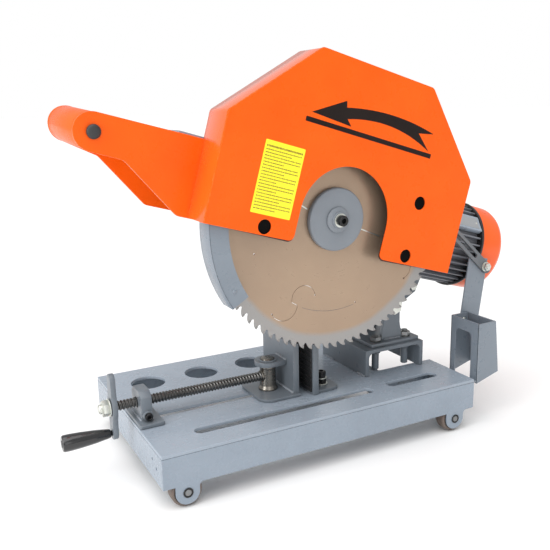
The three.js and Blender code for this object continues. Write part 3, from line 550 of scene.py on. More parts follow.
def head_piece(name, looks, stands_for=None, slot=None, body="head"):
    """A piece that is drawn in HEAD and rides on the head, or on a body that it carries."""
    return Piece(name, looks, stands_for, slot, body, HEAD)


# ---- base
TABLE = [(0, 0), (545, 0), (545, 115), (434, 115), (434, 337), (0, 337)]
AXLE_Z = -61.5
SKIRT_LOW, SKIRT_HIGH = -50, -5.3
FRONT_WHEELS, REAR_WHEELS = (35, 506), (35, 395)


def make_table():
    top = Piece("table_top", "blue_grey_lit_copy", "table_plate")
    slots = [stadium(76.5, 50, 364.5, 50, 9.5), stadium(41, 131, 254, 131, 8), stadium(417, 54, 497, 54, 10)]
    holes = [circle(68.5 + 96 * i, 267, 28.5, 4.0) for i in range(3)]
    top.plate("z", soften(TABLE, 1.2, steps=3), -5, 0, slots + holes, bevel=0.7)
    top.done()


def wall_with_ears(length, wheels):
    """A side wall whose lower edge drops into a round ear at each wheel."""
    line = [(0, SKIRT_HIGH), (0, SKIRT_LOW)]
    for x in wheels:
        line += [(x - EAR, SKIRT_LOW), *arc(x, AXLE_Z, EAR, 180, 360), (x + EAR, -56)]
        line += arc(x + EAR + 6, -56, 6, 180, 90)
    return line + [(length, SKIRT_LOW), (length, SKIRT_HIGH)]


def make_skirt():
    skirt = Piece("table_skirt_welded", "blue_grey_paint", "table_skirt")
    for length, wheels, y in ((545, FRONT_WHEELS, 0), (434, REAR_WHEELS, 334)):
        bores = [circle(x, AXLE_Z, 5.3) for x in wheels]
        skirt.plate("y", wall_with_ears(length, wheels), y, y + 3, bores, bevel=0.5)
    pins = [circle(42, -21, 2.2), circle(26, -29, 2.2)]
    skirt.plate("x", rectangle(3.1, 333.9, SKIRT_LOW, SKIRT_HIGH), 0, 3, pins, bevel=0.5)
    # A black sheet inside the wall behind the two pin holes: painted shade seen through them.
    skirt.use("black_painted_shade").plate("x", rectangle(20, 48, -34, -15), 3.05, 3.3, bevel=0.05)
    skirt.use("blue_grey_paint")
    for axis, low, high, place in (("x", 3.1, 111.9, 542), ("x", 115.1, 333.9, 431), ("y", 431, 545, 112)):
        skirt.plate(axis, rectangle(low, high, SKIRT_LOW, SKIRT_HIGH), place, place + 3, bevel=0.5)
    for wheels, inner, bridge in ((FRONT_WHEELS, (27, 31), (2, 31)), (REAR_WHEELS, (306, 310), (306, 335))):
        for x in wheels:
            bore = [circle(x, AXLE_Z, 5.3)]
            skirt.plate("y", stadium(x, AXLE_Z, x, -38, EAR), *inner, bore, bevel=0.5)
            skirt.block((x - EAR, x + EAR), bridge, (-20, SKIRT_HIGH))
    for x in (3.4, 541.6):
        skirt.weld([(x, 3.6, -48), (x, 3.6, -7)], 1.3, seed=int(x))
    skirt.weld([(430, 112, -48), (430, 112, -7)], 1.3, seed=5)
    for x in range(60, 540, 95):
        skirt.weld([(x, 3.8, -6), (x + 16, 3.8, -6)], 1.4, seed=x)
    skirt.done()


def make_wheels():
    places = zip(("front_left", "front_right", "rear_left", "rear_right"), FRONT_WHEELS + REAR_WHEELS)
    for name, x in places:
        rear = name.startswith("rear")
        near, far = (314, 333) if rear else (4, 23)
        at = (x, 0, AXLE_Z)
        wheel = Piece(f"tread_{name}", "wheel_polymer", f"wheel_{name}", body=f"wheel_{name}")
        wheel.turned("y", at, [(5.4, near), (9.5, near), (10.5, near + 2), (17, near + 2), (18, near),
            (20.5, near), (22.5, near + 2.2), (22.5, far - 2.2), (20.5, far), (18, far), (17, far - 2),
            (10.5, far - 2), (9.5, far), (5.4, far)], steps=72, closed=True, round_by=0.8)
        wheel.done()
        axle = Piece(f"wheel_pin_{name}", "steel_nut", f"axle_{name}", "zinc_plate")
        out, end = (338.4, 305.2) if rear else (-1.4, 31.8)
        low, high = min(out, end), max(out, end)
        axle.turned("y", at, [(0, low), (4.2, low), (5, low + 0.8), (5, high - 0.8), (4.2, high), (0, high)])
        clip = 337.1 if rear else -0.9
        axle.use("black_oxide").turned("y", at, [(5.05, clip - 0.4), (7.2, clip - 0.4), (7.2, clip + 0.5),
            (5.05, clip + 0.5)], closed=True, round_by=0.15)
        axle.done()


def make_stand():
    stand = Piece("stand_channel", "blue_grey_shaded_copy", "hinge_stand")
    inside = arc(411, 31, 9, 180, 90) + arc(500, 31, 9, 90, 0)
    outline = [(395, 0.3), (402, 0.3)] + inside + [(509, 0.3), (516, 0.3)]
    outline += arc(514, 44, 2, 0, 90) + arc(397, 44, 2, 90, 180)
    stand.plate("y", outline, 99, 238, bevel=0.6)
    for x in (394.2, 516.8):
        stand.weld([(x, 103, 1), (x, 122, 1)], 2.0, seed=int(x))
        stand.weld([(x, 200, 1), (x, 228, 1)], 2.0, seed=int(x) + 1)
    stand.done()

    bracket = Piece("pivot_bracket_welded", "blue_grey_shaded_copy", "pivot_bracket")
    studs = [circle(430, 121, 5.6), circle(492, 121, 5.6)]
    extra = [stadium(428, 196, 436, 196, 3.2)]
    bracket.plate("z", rectangle(412, 512, 106, 214, 3), 46.3, 52.3, studs + extra, bevel=0.6)
    for y in (118, 192):
        ear = arc(*PIVOT, 17, 0, 180) + [(445, 80), (440, 52), (484, 52), (479, 80)]
        bracket.plate("y", soften(ear, 1.0), y, y + 8, [circle(*PIVOT, 9.3)], bevel=0.6)
        for edge_y in (y - 0.5, y + 8.5):
            bracket.weld([(446, edge_y, 53), (478, edge_y, 53)], 1.9, seed=int(edge_y))
    bracket.done()

    for i, (x, slot) in enumerate(((430, "dark_grey_paint"), (492, "zinc_plate"))):
        at = (x, 121, 0)
        stud = Piece(f"stand_stud_{i + 1}", "blue_grey_shaded_copy", f"stand_bolt_{i + 1}", slot)
        stud.hexagon("z", at, 15, 31.2, 39.6, turn=12 + 20 * i)
        stud.turned("z", at, [(0, 2.4), (5.4, 2.4), (6.2, 3.4), (6.2, 30), (5, 31), (5, 40), (0, 40)])
        stud.use("oiled_steel").washer("z", at, 9.6, 52.5)
        stud.use("steel_nut").hexagon("z", at, 17, 54.1, 61, turn=25 * i)
        stud.stud(at, 61, 64.2)
        stud.done()

    pin = Piece("pivot_pin", "oiled_steel", "pivot_shaft")
    at = (PIVOT[0], 0, PIVOT[1])
    pin.turned("y", at, [(0, 113), (8.4, 113), (9, 114), (9, 245), (8.4, 246), (0, 246)])
    pin.use("zinc_plate").hexagon("y", at, 26, 107.2, 116.4, chamfer=1.4, turn=8)
    pin.washer("y", at, 14.6, 116.4, 1.3)
    pin.hexagon("y", at, 26, 240, 248.6, chamfer=1.4, turn=20)
    pin.done()

    stop = Piece("stop_screw", "zinc_plate", "stop_bolt")
    at = (503, 186, 0)
    stop.hexagon("z", at, 15, 68, 75, turn=14)
    stop.hexagon("z", at, 15, 53, 58, turn=40)
    stop.thread("z", at, 4.2, 5, 1.5, 52.7, 68.2, steps=20)
    stop.turned("z", at, [(0, 52.7), (4.2, 52.7), (4.2, 68.4), (0, 68.4)])
    stop.done()

    spring = Piece("lift_spring", "oiled_steel", "return_spring")
    turns, steps, radius, length = 5, 140, 15, 25
    coil = []
    for i in range(steps + 1):
        angle = 2 * pi * turns * i / steps
        coil.append((PIVOT[0] + radius * cos(angle), 205 + length * i / steps,
            PIVOT[1] + radius * sin(angle)))
    spring.rod(coil, 1.9, sides=10)
    spring.done(50)


# ---- vise
def make_fixed_jaw():
    jaw = Piece("fixed_jaw_welded", "blue_grey_shaded_copy", "fixed_jaw")
    bolts = [circle(310, 104, 5.6), circle(310, 164, 5.6)]
    jaw.plate("z", rectangle(280, 332, 80, 186, 15), 0.3, 5, bolts, bevel=0.5)
    jaw.plate("x", rectangle(76, 190, 0.3, 85, 0.8), 279, 289, bevel=0.7)
    jaw.plate("y", [(288, 4), (326, 4), (326, 7), (291, 52), (288, 52)], 128, 136)
    jaw.weld([(290, 82, 5.4), (290, 126, 5.4)], 2.1, seed=3)
    jaw.weld([(290, 138, 5.4), (290, 184, 5.4)], 2.1, seed=4)
    jaw.weld([(292, 127.4, 5.4), (324, 127.4, 5.4)], 1.7, seed=6)
    jaw.done()

    face = Piece("fixed_jaw_teeth", "black_paint", "fixed_jaw_face", "dark_grey_paint")
    rows, height = 9, 77
    pitch = height / rows
    profile = [(278.7, 5), (276.4, 5)]
    for i in range(rows):
        z = 5 + i * pitch
        profile += [(276.3, z + pitch * 0.76), (277.6, z + pitch * 0.84), (277.6, z + pitch * 0.94),
            (276.3, z + pitch)]
    profile += [(278.7, 5 + rows * pitch)]
    face.plate("y", profile, 80, 188, bevel=0.15)
    face.done(20)

    for i, y in enumerate((104, 164)):
        screw = Piece(f"jaw_screw_{i + 1}", "black_oxide", f"fixed_jaw_bolt_{i + 1}")
        at = (310, y, 0)
        screw.use("zinc_plate").washer("z", at, 10.5, 5.2)
        screw.use("black_oxide").hexagon("z", at, 15, 6.8, 15, turn=10)
        screw.use("zinc_plate").washer("z", at, 9, 15)
        screw.use("black_oxide").socket_head("z", at, 7.4, 16.6, 27)
        screw.done()


def make_moving_jaw():
    jaw = Piece("moving_jaw_welded", "blue_grey_shaded_copy", "moving_jaw", body="moving_jaw")
    sole = [(260, 84), (260, 178)] + arc(214, 158, 20, 90, 180) + arc(214, 104, 20, 180, 270)
    jaw.plate("z", sole, 0.3, 5, [circle(226, 131, 7.6)], bevel=0.6)
    jaw.plate("x", rectangle(90, 196, 0.3, 85, 0.8), 251, 261, bevel=0.7)
    jaw.plate("y", [(226, 4), (252, 4), (252, 40), (249, 40), (226, 8)], 156, 163)
    lug = arc(226, 131, 21, 90, 270) + [(251, 113), (251, 149)]
    jaw.plate("z", soften(lug, 0.8), 46.3, 54, [circle(226, 131, 11.6)], bevel=0.8)
    jaw.turned("z", (226, 131, 0), [(11.8, 53.8), (15.4, 53.8), (15.4, 55.6), (11.8, 55.6)], closed=True,
        round_by=0.4)
    jaw.weld([(250.4, 92, 5.6), (250.4, 154, 5.6)], 2.1, seed=8)
    jaw.weld([(250.4, 114, 54.4), (250.4, 148, 54.4)], 1.9, seed=9)
    jaw.done()

    at = (226, 131, 0)
    barrel = Piece("swivel_barrel", "barrel_steel", "screw_barrel", body="moving_jaw")
    barrel.turned("z", at, [(0, 5.3), (15.6, 5.3), (15.4, 7.5), (13, 12), (12.6, 40), (13, 41), (13, 46),
        (11.2, 46.2), (11.2, 56), (10.4, 57), (0, 57)], steps=72)
    barrel.turned("z", at, [(0, -24), (6.4, -24), (7, -23), (7, 6), (0, 6)])
    barrel.use("zinc_plate").hexagon("z", at, 22, -14.6, -6.2, turn=10)
    barrel.washer("z", at, 13.8, -6.2, 0.9)
    barrel.use("barrel_steel").turned("x", (0, *SCREW), [(0, 212.5), (9, 212.5), (9.4, 213.2), (9.4, 216),
        (0, 216)])
    barrel.done()


def make_nut_block():
    block = Piece("nut_block_welded", "blue_grey_shaded_copy", "nut_block")
    block.plate("z", rectangle(1, 38, 92, 172, 3), 0.3, 6, bevel=0.8)
    ear = [(108, 5), (154, 5), (154, 41), (145, 49), (117, 49), (108, 41)]
    block.plate("x", soften(ear, 2.0), 8, 25, [circle(*SCREW, 7.9)], bevel=1.2)
    for x in (7.6, 25.4):
        block.weld([(x, 110, 6.4), (x, 152, 6.4)], 1.7, seed=int(x))
    at = (17, 0, 14)
    block.turned("y", at, [(0, 103), (7.4, 103), (7.4, 108.4), (0, 108.4)])
    block.use("black_oxide").socket_head("y", at, 5.6, 107, 97.4)
    block.done()


def make_lead_screw():
    at = (0, *SCREW)
    screw = Piece("thread_spindle", "oiled_steel", "lead_screw", body="vise_screw")
    screw.thread("x", at, 6.0, 7.6, 5.0, -22.4, 212.6, steps=32)
    screw.turned("x", at, [(0, -43), (6, -43), (6.8, -42), (6.8, -22), (5.95, -22), (5.95, 213.2),
        (0, 213.2)])
    screw.use("zinc_plate").hexagon("x", at, 21, -43.4, -33.8, chamfer=1.6, turn=16)
    screw.turned("x", at, [(0, -48.4), (5.6, -48.4), (7, -46.8), (7, -42), (0, -42)])
    screw.washer("x", at, 13.4, -33.8, 1.7)
    screw.done()

    arm = Piece("crank_link", "blue_grey_shaded_copy", "crank_arm", body="vise_screw")
    top, low = 69, -12
    side = [(141, top - 2), (141.5, 46), (146, 36), (146, 20), (141.5, 10), (141, low + 1)]
    mirrored = [(2 * SCREW[0] - y, z) for y, z in reversed(side)]
    outline = soften(side, 3, closed=False) + arc(SCREW[0], low, 10, 0, -180) + soften(mirrored, 3,
        closed=False)
    outline += arc(SCREW[0], top, 10, 180, 0)
    arm.plate("x", outline, -31, -23, [circle(*SCREW, 7)], bevel=1.3)
    arm.done()

    pin = Piece("handle_pin", "black_oxide", "grip_pin", body="vise_screw")
    low_at = (0, SCREW[0], low)
    pin.turned("x", low_at, [(0, -103.4), (4.4, -103.4), (5.2, -102.8), (5.2, -101.6), (4, -101.4),
        (4, -21.4), (0, -21.4)])
    pin.use("zinc_plate").hexagon("x", low_at, 11, -23, -21.2, chamfer=0.3)
    pin.done()

    grip = Piece("turned_grip", "black_plastic", "crank_grip", body="crank_grip")
    grip.turned("x", low_at, [(4.5, -102.8), (10.4, -103.2), (12.2, -101), (12.3, -92), (11.5, -76),
        (9.7, -56), (7.7, -42), (6.6, -35), (5.8, -33.4), (4.5, -33.2)], steps=80, closed=True, round_by=2.0)
    grip.done(60)


# ---- guards
GUARD = dict(left=-213, right=221, top=224, bottom=-44, chamfer=117)


def guard_line(inset, bottom):
    """The faceted outline without its lower edge, from lower left round to lower right."""
    left, right, top = GUARD["left"] + inset, GUARD["right"] - inset, GUARD["top"] - inset
    cut = GUARD["chamfer"] - inset * (2 - sqrt(2))
    return [(left, bottom), (left, top - cut), (left + cut, top), (right - cut, top), (right, top - cut),
        (right, bottom)]


def guard_mouth(radius, lip, low):
    """The arched opening over the flange, from right to left, with a rounded lip at each foot."""
    middle = 3
    return (arc(middle + 86, low, lip, -90, -180) + arc(middle, 2, radius, 0, 180, 3) + arc(middle - 86, low,
        lip, 0, -90))


def rounded_guard(inset, radius, lift=0.0):
    """The faceted outline with its upper corners rounded, open below."""
    return soften(guard_line(inset, GUARD["bottom"] + lift), radius, closed=False)


def make_upper_guard():
    bottom = GUARD["bottom"]
    shell = head_piece("guard_folded_shell", "orange_gloss", "guard_shell")
    shell.plate("y", rounded_guard(0, 4) + rounded_guard(2.5, 2.5)[::-1], -22.4, 39.5, bevel=0.4)
    # A near-black sheet just inside the shell walls: painted shade in the guard's interior.
    guard_shade_sheet = rounded_guard(2.6, 2.4, 0.2) + rounded_guard(2.9, 2.2, 0.2)[::-1]
    shell.use("guard_inside_painted_shade").plate("y", guard_shade_sheet, -21.8, 31, bevel=0.05)
    shell.use("orange_gloss")
    shell.plate("y", rounded_guard(2.2, 3), 31.5, 33.8, [circle(0, 0, 40, 4)], bevel=0.3)
    # A near-black sheet on the inner face of the back wall: painted shade.
    shell.use("guard_inside_painted_shade")
    shell.plate("y", rounded_guard(2.9, 3, 0.3), 31.1, 31.4, [circle(0, 0, 40.5, 4)], bevel=0.05)
    shell.done()

    mouth = guard_mouth(77, 9, -35)
    line = guard_line(0, bottom)
    outline = [line[0]] + soften(line, 4, closed=False)[1:-1] + [line[-1]] + mouth
    panel = head_piece("guard_front_sheet", "orange_paint", "guard_front_panel")
    holes = ((-123.5, -32), (128.5, -31), (131, 53))
    panel.plate("y", outline, FRONT, FRONT + 2.5, [circle(x, z, 10.4, 6) for x, z in holes], bevel=0.4)
    # Black discs behind the panel's holes: painted shade seen through them.
    for x, z in holes:
        panel.use("black_painted_shade").turned("y", (x, 0, z), [(0, -21.6), (11.4, -21.6), (11.4, -22.6), (0, -22.6)])
    panel.use("orange_paint")
    # A near-black sheet behind the front panel: painted shade inside the guard.
    panel_shade_sheet_line = guard_line(3.2, bottom + 0.5)
    panel.use("guard_inside_painted_shade").plate("y", panel_shade_sheet_line + guard_mouth(77.6, 10, -36), -22.3, -21.9, bevel=0.05)
    panel.use("orange_paint")
    seam = [(x, -22.4, z) for x, z in rounded_guard(0.3, 3, 6)]
    panel.rod(seam, 0.7, sides=8)
    panel.done()


def make_lower_guard():
    guard = head_piece("blade_shield", "blue_grey_half_shaded_copy", "lower_guard", body="lower_guard")
    band = arc(0, 0, 207, 150, 228, 2) + arc(0, 0, 205, 228, 150, 2)
    guard.plate("y", band, -17, 17, bevel=0.5)
    side = arc(0, 0, 206.4, 150, 228, 2) + arc(0, 0, 178, 228, 150, 2)
    guard.plate("y", side, -17, -15, bevel=0.5)
    guard.plate("y", side, 15, 17, bevel=0.5)
    web = arc(0, 0, 184, 170, 192, 2) + arc(0, 0, 42, 192, 170, 4)
    guard.plate("y", web, 15.05, 16.95)
    guard.plate("y", circle(0, 0, 48), 15, 17, [circle(0, 0, 32)])
    for angle in (156, 222):
        a = radians(angle)
        guard.turned("y", (192 * cos(a), 0, 192 * sin(a)), [(0, -18.1), (2.6, -17.9), (3.4, -17), (0, -17)])
    guard.done()


# ---- blade and drive
TEETH = 84
TOOTH = [(-0.05, 195.2), (-0.03, 193.0), (0.03, 191.5), (0.12, 191.0), (0.22, 191.6), (0.31, 193.1),
    (0.44, 195.5), (0.6, 197.6), (0.74, 198.9), (0.985, 199.7)]


def polar(radius, angle):
    a = radians(angle)
    return radius * cos(a), radius * sin(a)


def spline_points(points, per=8):
    """A smooth line through a few points."""
    padded = [points[0], *points, points[-1]]
    made = []
    for p0, p1, p2, p3 in zip(padded, padded[1:], padded[2:], padded[3:]):
        for k in range(per):
            t = k / per
            made.append(tuple(0.5 * (2 * b + (c - a) * t + (2 * a - 5 * b + 4 * c - d) * t * t
                + (3 * b - a - 3 * c + d) * t ** 3) for a, b, c, d in zip(p0, p1, p2, p3)))
    return made + [tuple(points[-1])]


def relief_slot(turn):
    """A laser-cut S with a small round hole at each end, as a closed outline."""
    upper = arc(-20, -125, 20, 25, 205, 12)
    lower = arc(-50, -141, 22, 12, -140, 12)
    line = [Vector(p) for p in spline_points(upper + lower, 2)]
    spin = Matrix.Rotation(radians(turn), 2)
    half = 0.28
    left, right = [], []
    for i, point in enumerate(line):
        ahead = (line[min(i + 1, len(line) - 1)] - line[max(i - 1, 0)]).normalized()
        side = Vector((-ahead.y, ahead.x)) * half
        left.append(point + side)
        right.append(point - side)
    outline = []
    for points, end, before in ((left, line[-1], line[-2]), (right[::-1], line[0], line[1])):
        outline += points
        away = degrees(atan2(end.y - before.y, end.x - before.x))
        outline += [Vector(p) for p in arc(end.x, end.y, 1.3, away + 165, away - 165, 30)]
    return [tuple(spin @ Vector(p)) for p in outline]


def make_blade():
    blade = head_piece("toothed_blade", "blade_steel", "saw_blade", body="blade_set")
    pitch = 360 / TEETH
    outline = [polar(radius, (i + share) * pitch) for i in range(TEETH) for share, radius in TOOTH]
    holes = [circle(0, 0, ARBOR)] + [relief_slot(90 * i) for i in range(4)]
    holes += [circle(*polar(138.5, -58 + 90 * i), 1.2, 30) for i in range(4)]
    blade.plate("y", outline, -1.15, 1.15, holes, bevel=0.1)
    blade.use("oiled_steel")
    etched = arc(0, 0, 140.3, -98, -60, 2) + arc(0, 0, 139.7, -60, -98, 2)
    blade.plate("y", etched, -1.2, -1.1, bevel=0.01)
    # Two thin bright strips either side of the flange: a painted glint, the blade's radial reflection line.
    blade.use("zinc_plate").plate("y", [(-75, 13.6), (-49, 5.6), (-49, 3.8), (-75, 11)], -1.25, -1.1,
        bevel=0.02)
    blade.plate("y", [(48, -4.6), (88, -9), (88, -11.4), (48, -6.2)], -1.25, -1.1, bevel=0.02)
    blade.use("blade_tip")
    tip = [(1.0, 200.0), (0.985, 195.6), (0.86, 194.8), (0.79, 199.0)]
    for i in range(TEETH):
        blade.plate("y", [polar(radius, (i + share) * pitch) for share, radius in tip], -1.5, 1.5, bevel=0.12)
    blade.done(40)

    front = head_piece("clamp_flange_outer", "flange_paint", "outer_flange", "bright_steel", body="blade_set")
    front.turned("y", (0, 0, 0), [(ARBOR, -1.8), (47, -1.8), (47, -8.2), (45.5, -10.2), (ARBOR, -10.8)],
        steps=120, closed=True, round_by=1.0)
    front.done()
    rear = head_piece("clamp_flange_inner", "flange_paint", "inner_flange", "bright_steel", body="blade_set")
    rear.turned("y", (0, 0, 0), [(ARBOR, 1.8), (47, 1.8), (47, 8.8), (28, 12.8), (ARBOR, 12.8)], steps=96,
        closed=True, round_by=0.8)
    rear.done()

    bolt = head_piece("blade_bolt", "flange_paint", "arbor_bolt", "black_oxide", body="blade_set")
    at = (0, 0, 0)
    bolt.turned("y", at, [(0, -11.1), (19, -11.1), (19, -12.4), (14.4, -14.2), (12.8, -14.6), (12.4, -17.4),
        (11.6, -18.1), (0, -18.1)], steps=80, round_by=0.6)
    bolt.use("zinc_plate").turned("y", at, [(0, -18.1), (10.4, -18.1), (10.4, -19.5), (0, -19.5)], steps=64)
    bolt.use("black_oxide").socket_head("y", at, 7.8, -19.5, -28.4)
    bolt.done()


def make_gearbox():
    shape = rectangle(-66, 98, -72, 80, 18)
    housing = head_piece("gear_case", "cast_grey", "gearbox_housing")
    inner = rectangle(-56, 88, -62, 70, 10)
    housing.plate("y", shape, 46, 56, [circle(0, 0, ARBOR)], bevel=2.0)
    housing.plate("y", shape, 55.9, 188, [inner], bevel=1.0)
    housing.turned("y", (0, 0, 0), [(15.4, 19), (27, 19), (30, 22), (30, 47), (15.4, 47)], closed=True,
        round_by=1.0)
    for x in (-40, 16, 72):
        housing.block((x - 2.5, x + 2.5), (60, 184), (79, 84.5), bevel=1.0)
    housing.done()
    cover = head_piece("gear_case_cover", "cast_grey", "gearbox_cover")
    cover.plate("y", shape, 188.3, 198, bevel=2.2)
    cover.turned("y", (0, 0, 0), [(0, 197), (30, 197), (30, 203), (27, 206), (12, 206), (11, 204), (0, 204)],
        round_by=1.2)
    cover.use("zinc_plate")
    for x, z in ((-56, -62), (16, -63), (88, -62), (-57, 4), (89, 4), (-56, 70), (16, 71), (88, 70)):
        cover.washer("y", (x, 0, z), 6.4, 198, 1.0)
        cover.hexagon("y", (x, 0, z), 10, 199, 204, turn=x)
    cover.done()
    for name, looks in (("spindle", "bright_steel"), ("spindle_bearing", "bright_steel"),
            ("crown_gear", "oiled_steel"), ("drive_pinion", "oiled_steel"), ("stator", "copper_winding"),
            ("motor_rotor", "oiled_steel"), ("cooling_fan", "black_plastic")):
        repaint(name, looks)


def repaint(name, looks):
    """A CAD node that stays as it is, in a finish."""
    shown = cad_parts[name]
    shown.data.materials.clear()
    shown.data.materials.append(FINISH[looks])


# ---- motor
def around_motor(radius, angle, x=0):
    """A point about the motor's axis, in HEAD."""
    a = radians(angle)
    return x, MOTOR[0] + radius * cos(a), MOTOR[1] + radius * sin(a)


def make_motor():
    axis = (0, *MOTOR)
    frame_piece = head_piece("finned_motor_body", "motor_paint", "motor_frame")
    frame_piece.turned("x", axis, [(60.2, 112.4), (66.4, 112.4), (66.4, 349.6), (60.2, 349.6)], steps=96,
        closed=True)
    fins = 36
    for i in range(fins):
        a = radians(360 * (i + 0.5) / fins)
        out, side = Vector((cos(a), sin(a))), Vector((-sin(a), cos(a)))
        corners = [out * 66 + side * 2.1, out * 75.5 + side * 1.25, out * 75.5 - side * 1.25,
            out * 66 - side * 2.1]
        frame_piece.plate("x", [tuple(Vector(MOTOR) + corner) for corner in corners], 112.6, 349.4, bevel=0.4)
    frame_piece.done()

    pad = head_piece("blank_nameplate", "blue_grey_lit_copy", slot="cast_aluminium")
    to_axis = Matrix.Translation(axis)
    pad.where = HEAD @ to_axis @ Matrix.Rotation(radians(-40), 4, "X") @ to_axis.inverted()
    pad.plate("y", rectangle(232, 349.6, -16, 14, 2), 49, 58, bevel=0.8)
    pad.use("nameplate").plate("y", rectangle(238, 344, -12, 10, 1.5), 48.5, 49.1, bevel=0.2)
    for x in (242, 340):
        pad.use("zinc_plate").turned("y", (x, 0, -1), [(0, 47.7), (1.6, 47.9), (2, 48.6), (0, 48.6)],
            steps=16)
    pad.done()

    bell = head_piece("motor_front_bell", "motor_paint", "motor_end_bell")
    bell.turned("x", axis, [(9.4, 98.4), (58, 98.4), (62, 100), (74, 103.5), (78, 106), (78, 111.8),
        (9.4, 111.8)], steps=96, closed=True, round_by=1.5)
    bell.use("zinc_plate")
    for i in range(4):
        bell.hexagon("x", around_motor(68, 45 + 90 * i), 8, 99.4, 104)
    bell.done()
    ring = head_piece("motor_black_ring", "black_paint", "motor_rear_ring", "cast_aluminium")
    ring.turned("x", axis, [(9.4, 350), (78.4, 350), (79, 351), (79, 353.6), (78.4, 354.6), (9.4, 354.6)],
        steps=112, closed=True, round_by=0.6)
    ring.done()
    make_fan_cover(axis)

    box = head_piece("wiring_box", "cast_grey", "terminal_box")
    box.plate("z", rectangle(132, 204, 91, 159, 5), 81.5, 119.4, bevel=1.2)
    box.plate("z", rectangle(129, 207, 88, 162, 6), 119.6, 124.4, bevel=1.2)
    box.use("zinc_plate")
    for x in (136, 200):
        for y in (95, 155):
            box.turned("z", (x, y, 0), [(0, 124.2), (3.4, 124.2), (3.2, 126), (1.8, 126.7), (0, 126.8)],
                steps=24)
    box.use("black_plastic").hexagon("x", (0, 125, 98.5), 18, 203.8, 209, turn=12)
    box.turned("x", (0, 125, 98.5), [(0, 208), (8.2, 208), (7.4, 214), (5, 214), (4.8, 206), (0, 206)],
        round_by=0.4)
    box.done()


def make_fan_cover(axis):
    cover = head_piece("fan_cowl", "orange_satin", "fan_cover")
    cover.turned("x", axis, [(75.2, 355), (77, 355), (77, 396), (74.5, 402.5), (68, 407), (60, 408),
        (60, 406), (67.4, 405.2), (73, 400.8), (75.2, 395.6)], steps=112, closed=True, round_by=1.2)
    disc = circle(*MOTOR, 60.4, 4)
    slots = []
    for radius, width, count in ((19, 4.2, 5), (33, 4.2, 8), (47, 4.2, 11)):
        for i in range(count):
            span = 360 / count
            start, end = span * i + span * 0.14, span * (i + 1) - span * 0.14
            slots.append(arc(*MOTOR, radius + width, start, end, 6) + arc(*MOTOR, radius - width, end, start,
                6))
    cover.plate("x", disc, 406.1, 407.9, slots, bevel=0.3)
    cover.use("zinc_plate")
    for angle in (40, 90, 270, 320):
        cover.rod([around_motor(76.6, angle, 366), around_motor(79, angle, 366)], 3.2, sides=20)
    cover.done()


# ---- swing arm and handle
def in_head(x, z):
    """A BASE point's x and z, in HEAD."""
    dx, dz = x - BLADE_CENTRE[0], z - BLADE_CENTRE[2]
    c, s = cos(TILT), sin(TILT)
    return dx * c - dz * s, dx * s + dz * c


def make_swing_arm():
    px, pz = in_head(*PIVOT)
    arm = head_piece("swing_arm_welded", "blue_grey_shaded_copy", "swing_arm")
    arm.block((-30, 96), (56, 190), (-81.3, -72.3), bevel=1.2)
    rib = [(0, -77), (px - 8, pz - 16), (px + 14, pz + 14), (96, -77)]
    front_rib = rib[:2] + [(px + 20, pz - 6), (258, -92), (262, -68), (110, -68), (96, -77)]
    for y, shape in ((83, front_rib), (125, rib)):
        arm.plate("y", shape, y, y + 10, bevel=0.7)
        arm.weld([(4, y - 0.4, -81.6), (90, y - 0.4, -81.6)], 1.8, seed=y)
    arm.use("zinc_plate").hexagon("y", (247, 0, -84), 13, 76.5, 83, turn=12)
    arm.use("blue_grey_shaded_copy").turned("y", (px, 0, pz), [(9.4, 77), (19, 77), (20, 78), (20, 140), (19, 141),
        (9.4, 141)], steps=72, closed=True)
    arm.done()


def handle_outline(right, end=HANDLE):
    line = arc(*end, 25.5, 90, 270, 5)
    return line + soften([(-340, 13), (-316, 12), (-229, -45), (-200, -45)], 4, closed=False)[1:-1] + [(right,
        -45), (right, 66), (-240, 66)]


def make_handle():
    x, z = HANDLE
    front = head_piece("handle_cheek_front", "orange_paint", "handle_plate_front")
    front.plate("y", handle_outline(-150), 34.6, 39.6, [circle(x, z, 8)], bevel=0.7)
    front.done()
    rear = head_piece("handle_cheek_rear", "orange_paint", "handle_plate_rear")
    rear.plate("y", handle_outline(-76, (-368, 46)), 175, 180, bevel=0.7)
    rear.done()
    tube = head_piece("handle_sleeve", "orange_paint", "handle_tube")
    tube.turned("y", (x, 0, z), [(16, 39.8), (25.1, 39.8), (25.1, 181.6), (24.1, 182.6), (16, 182.6)],
        steps=96, closed=True, round_by=0.4)
    tube.turned("y", (x, 0, z), [(0, 176), (16.5, 176), (16.5, 182.2), (0, 182.2)])
    lean = Matrix.Identity(4)
    lean[0][1], lean[2][1] = -0.037, 0.055
    where = Matrix.Translation((0, 39.7, 0)) @ lean @ Matrix.Translation((0, -39.7, 0))
    bmesh.ops.transform(tube.mesh, matrix=where, verts=tube.mesh.verts)
    tube.done()
    bridge = head_piece("handle_bridge_folded", "blue_grey_paint", "handle_bridge")
    bridge.block((-250, -66.4), (39.9, 174.7), (62, 69), bevel=0.8)
    bridge.block((-74, -66.4), (39.9, 174.7), (-44, 63), bevel=0.8)
    bridge.done()

    switch = head_piece("switch_body", "black_plastic", "start_switch")
    switch.turned("y", (x, 0, z), [(0, 42.6), (11.4, 42.6), (11.4, 56), (10.2, 57), (10.2, 80.4), (0, 80.4)])
    switch.use("zinc_plate").hexagon("y", (x, 0, z), 19, 44, 47.5, turn=9)
    switch.done()
    button = head_piece("button_cap", "rubber_black", "start_button", "black_plastic", body="start_button")
    button.turned("y", (x, 0, z), [(0, 38.4), (6.8, 38.4), (6.8, 31.4), (9.4, 31.3), (9.7, 30.4), (9.2, 28.2),
        (7.6, 26.6), (4.6, 25.6), (0, 25.3)], steps=72, round_by=0.9)
    button.done(50)


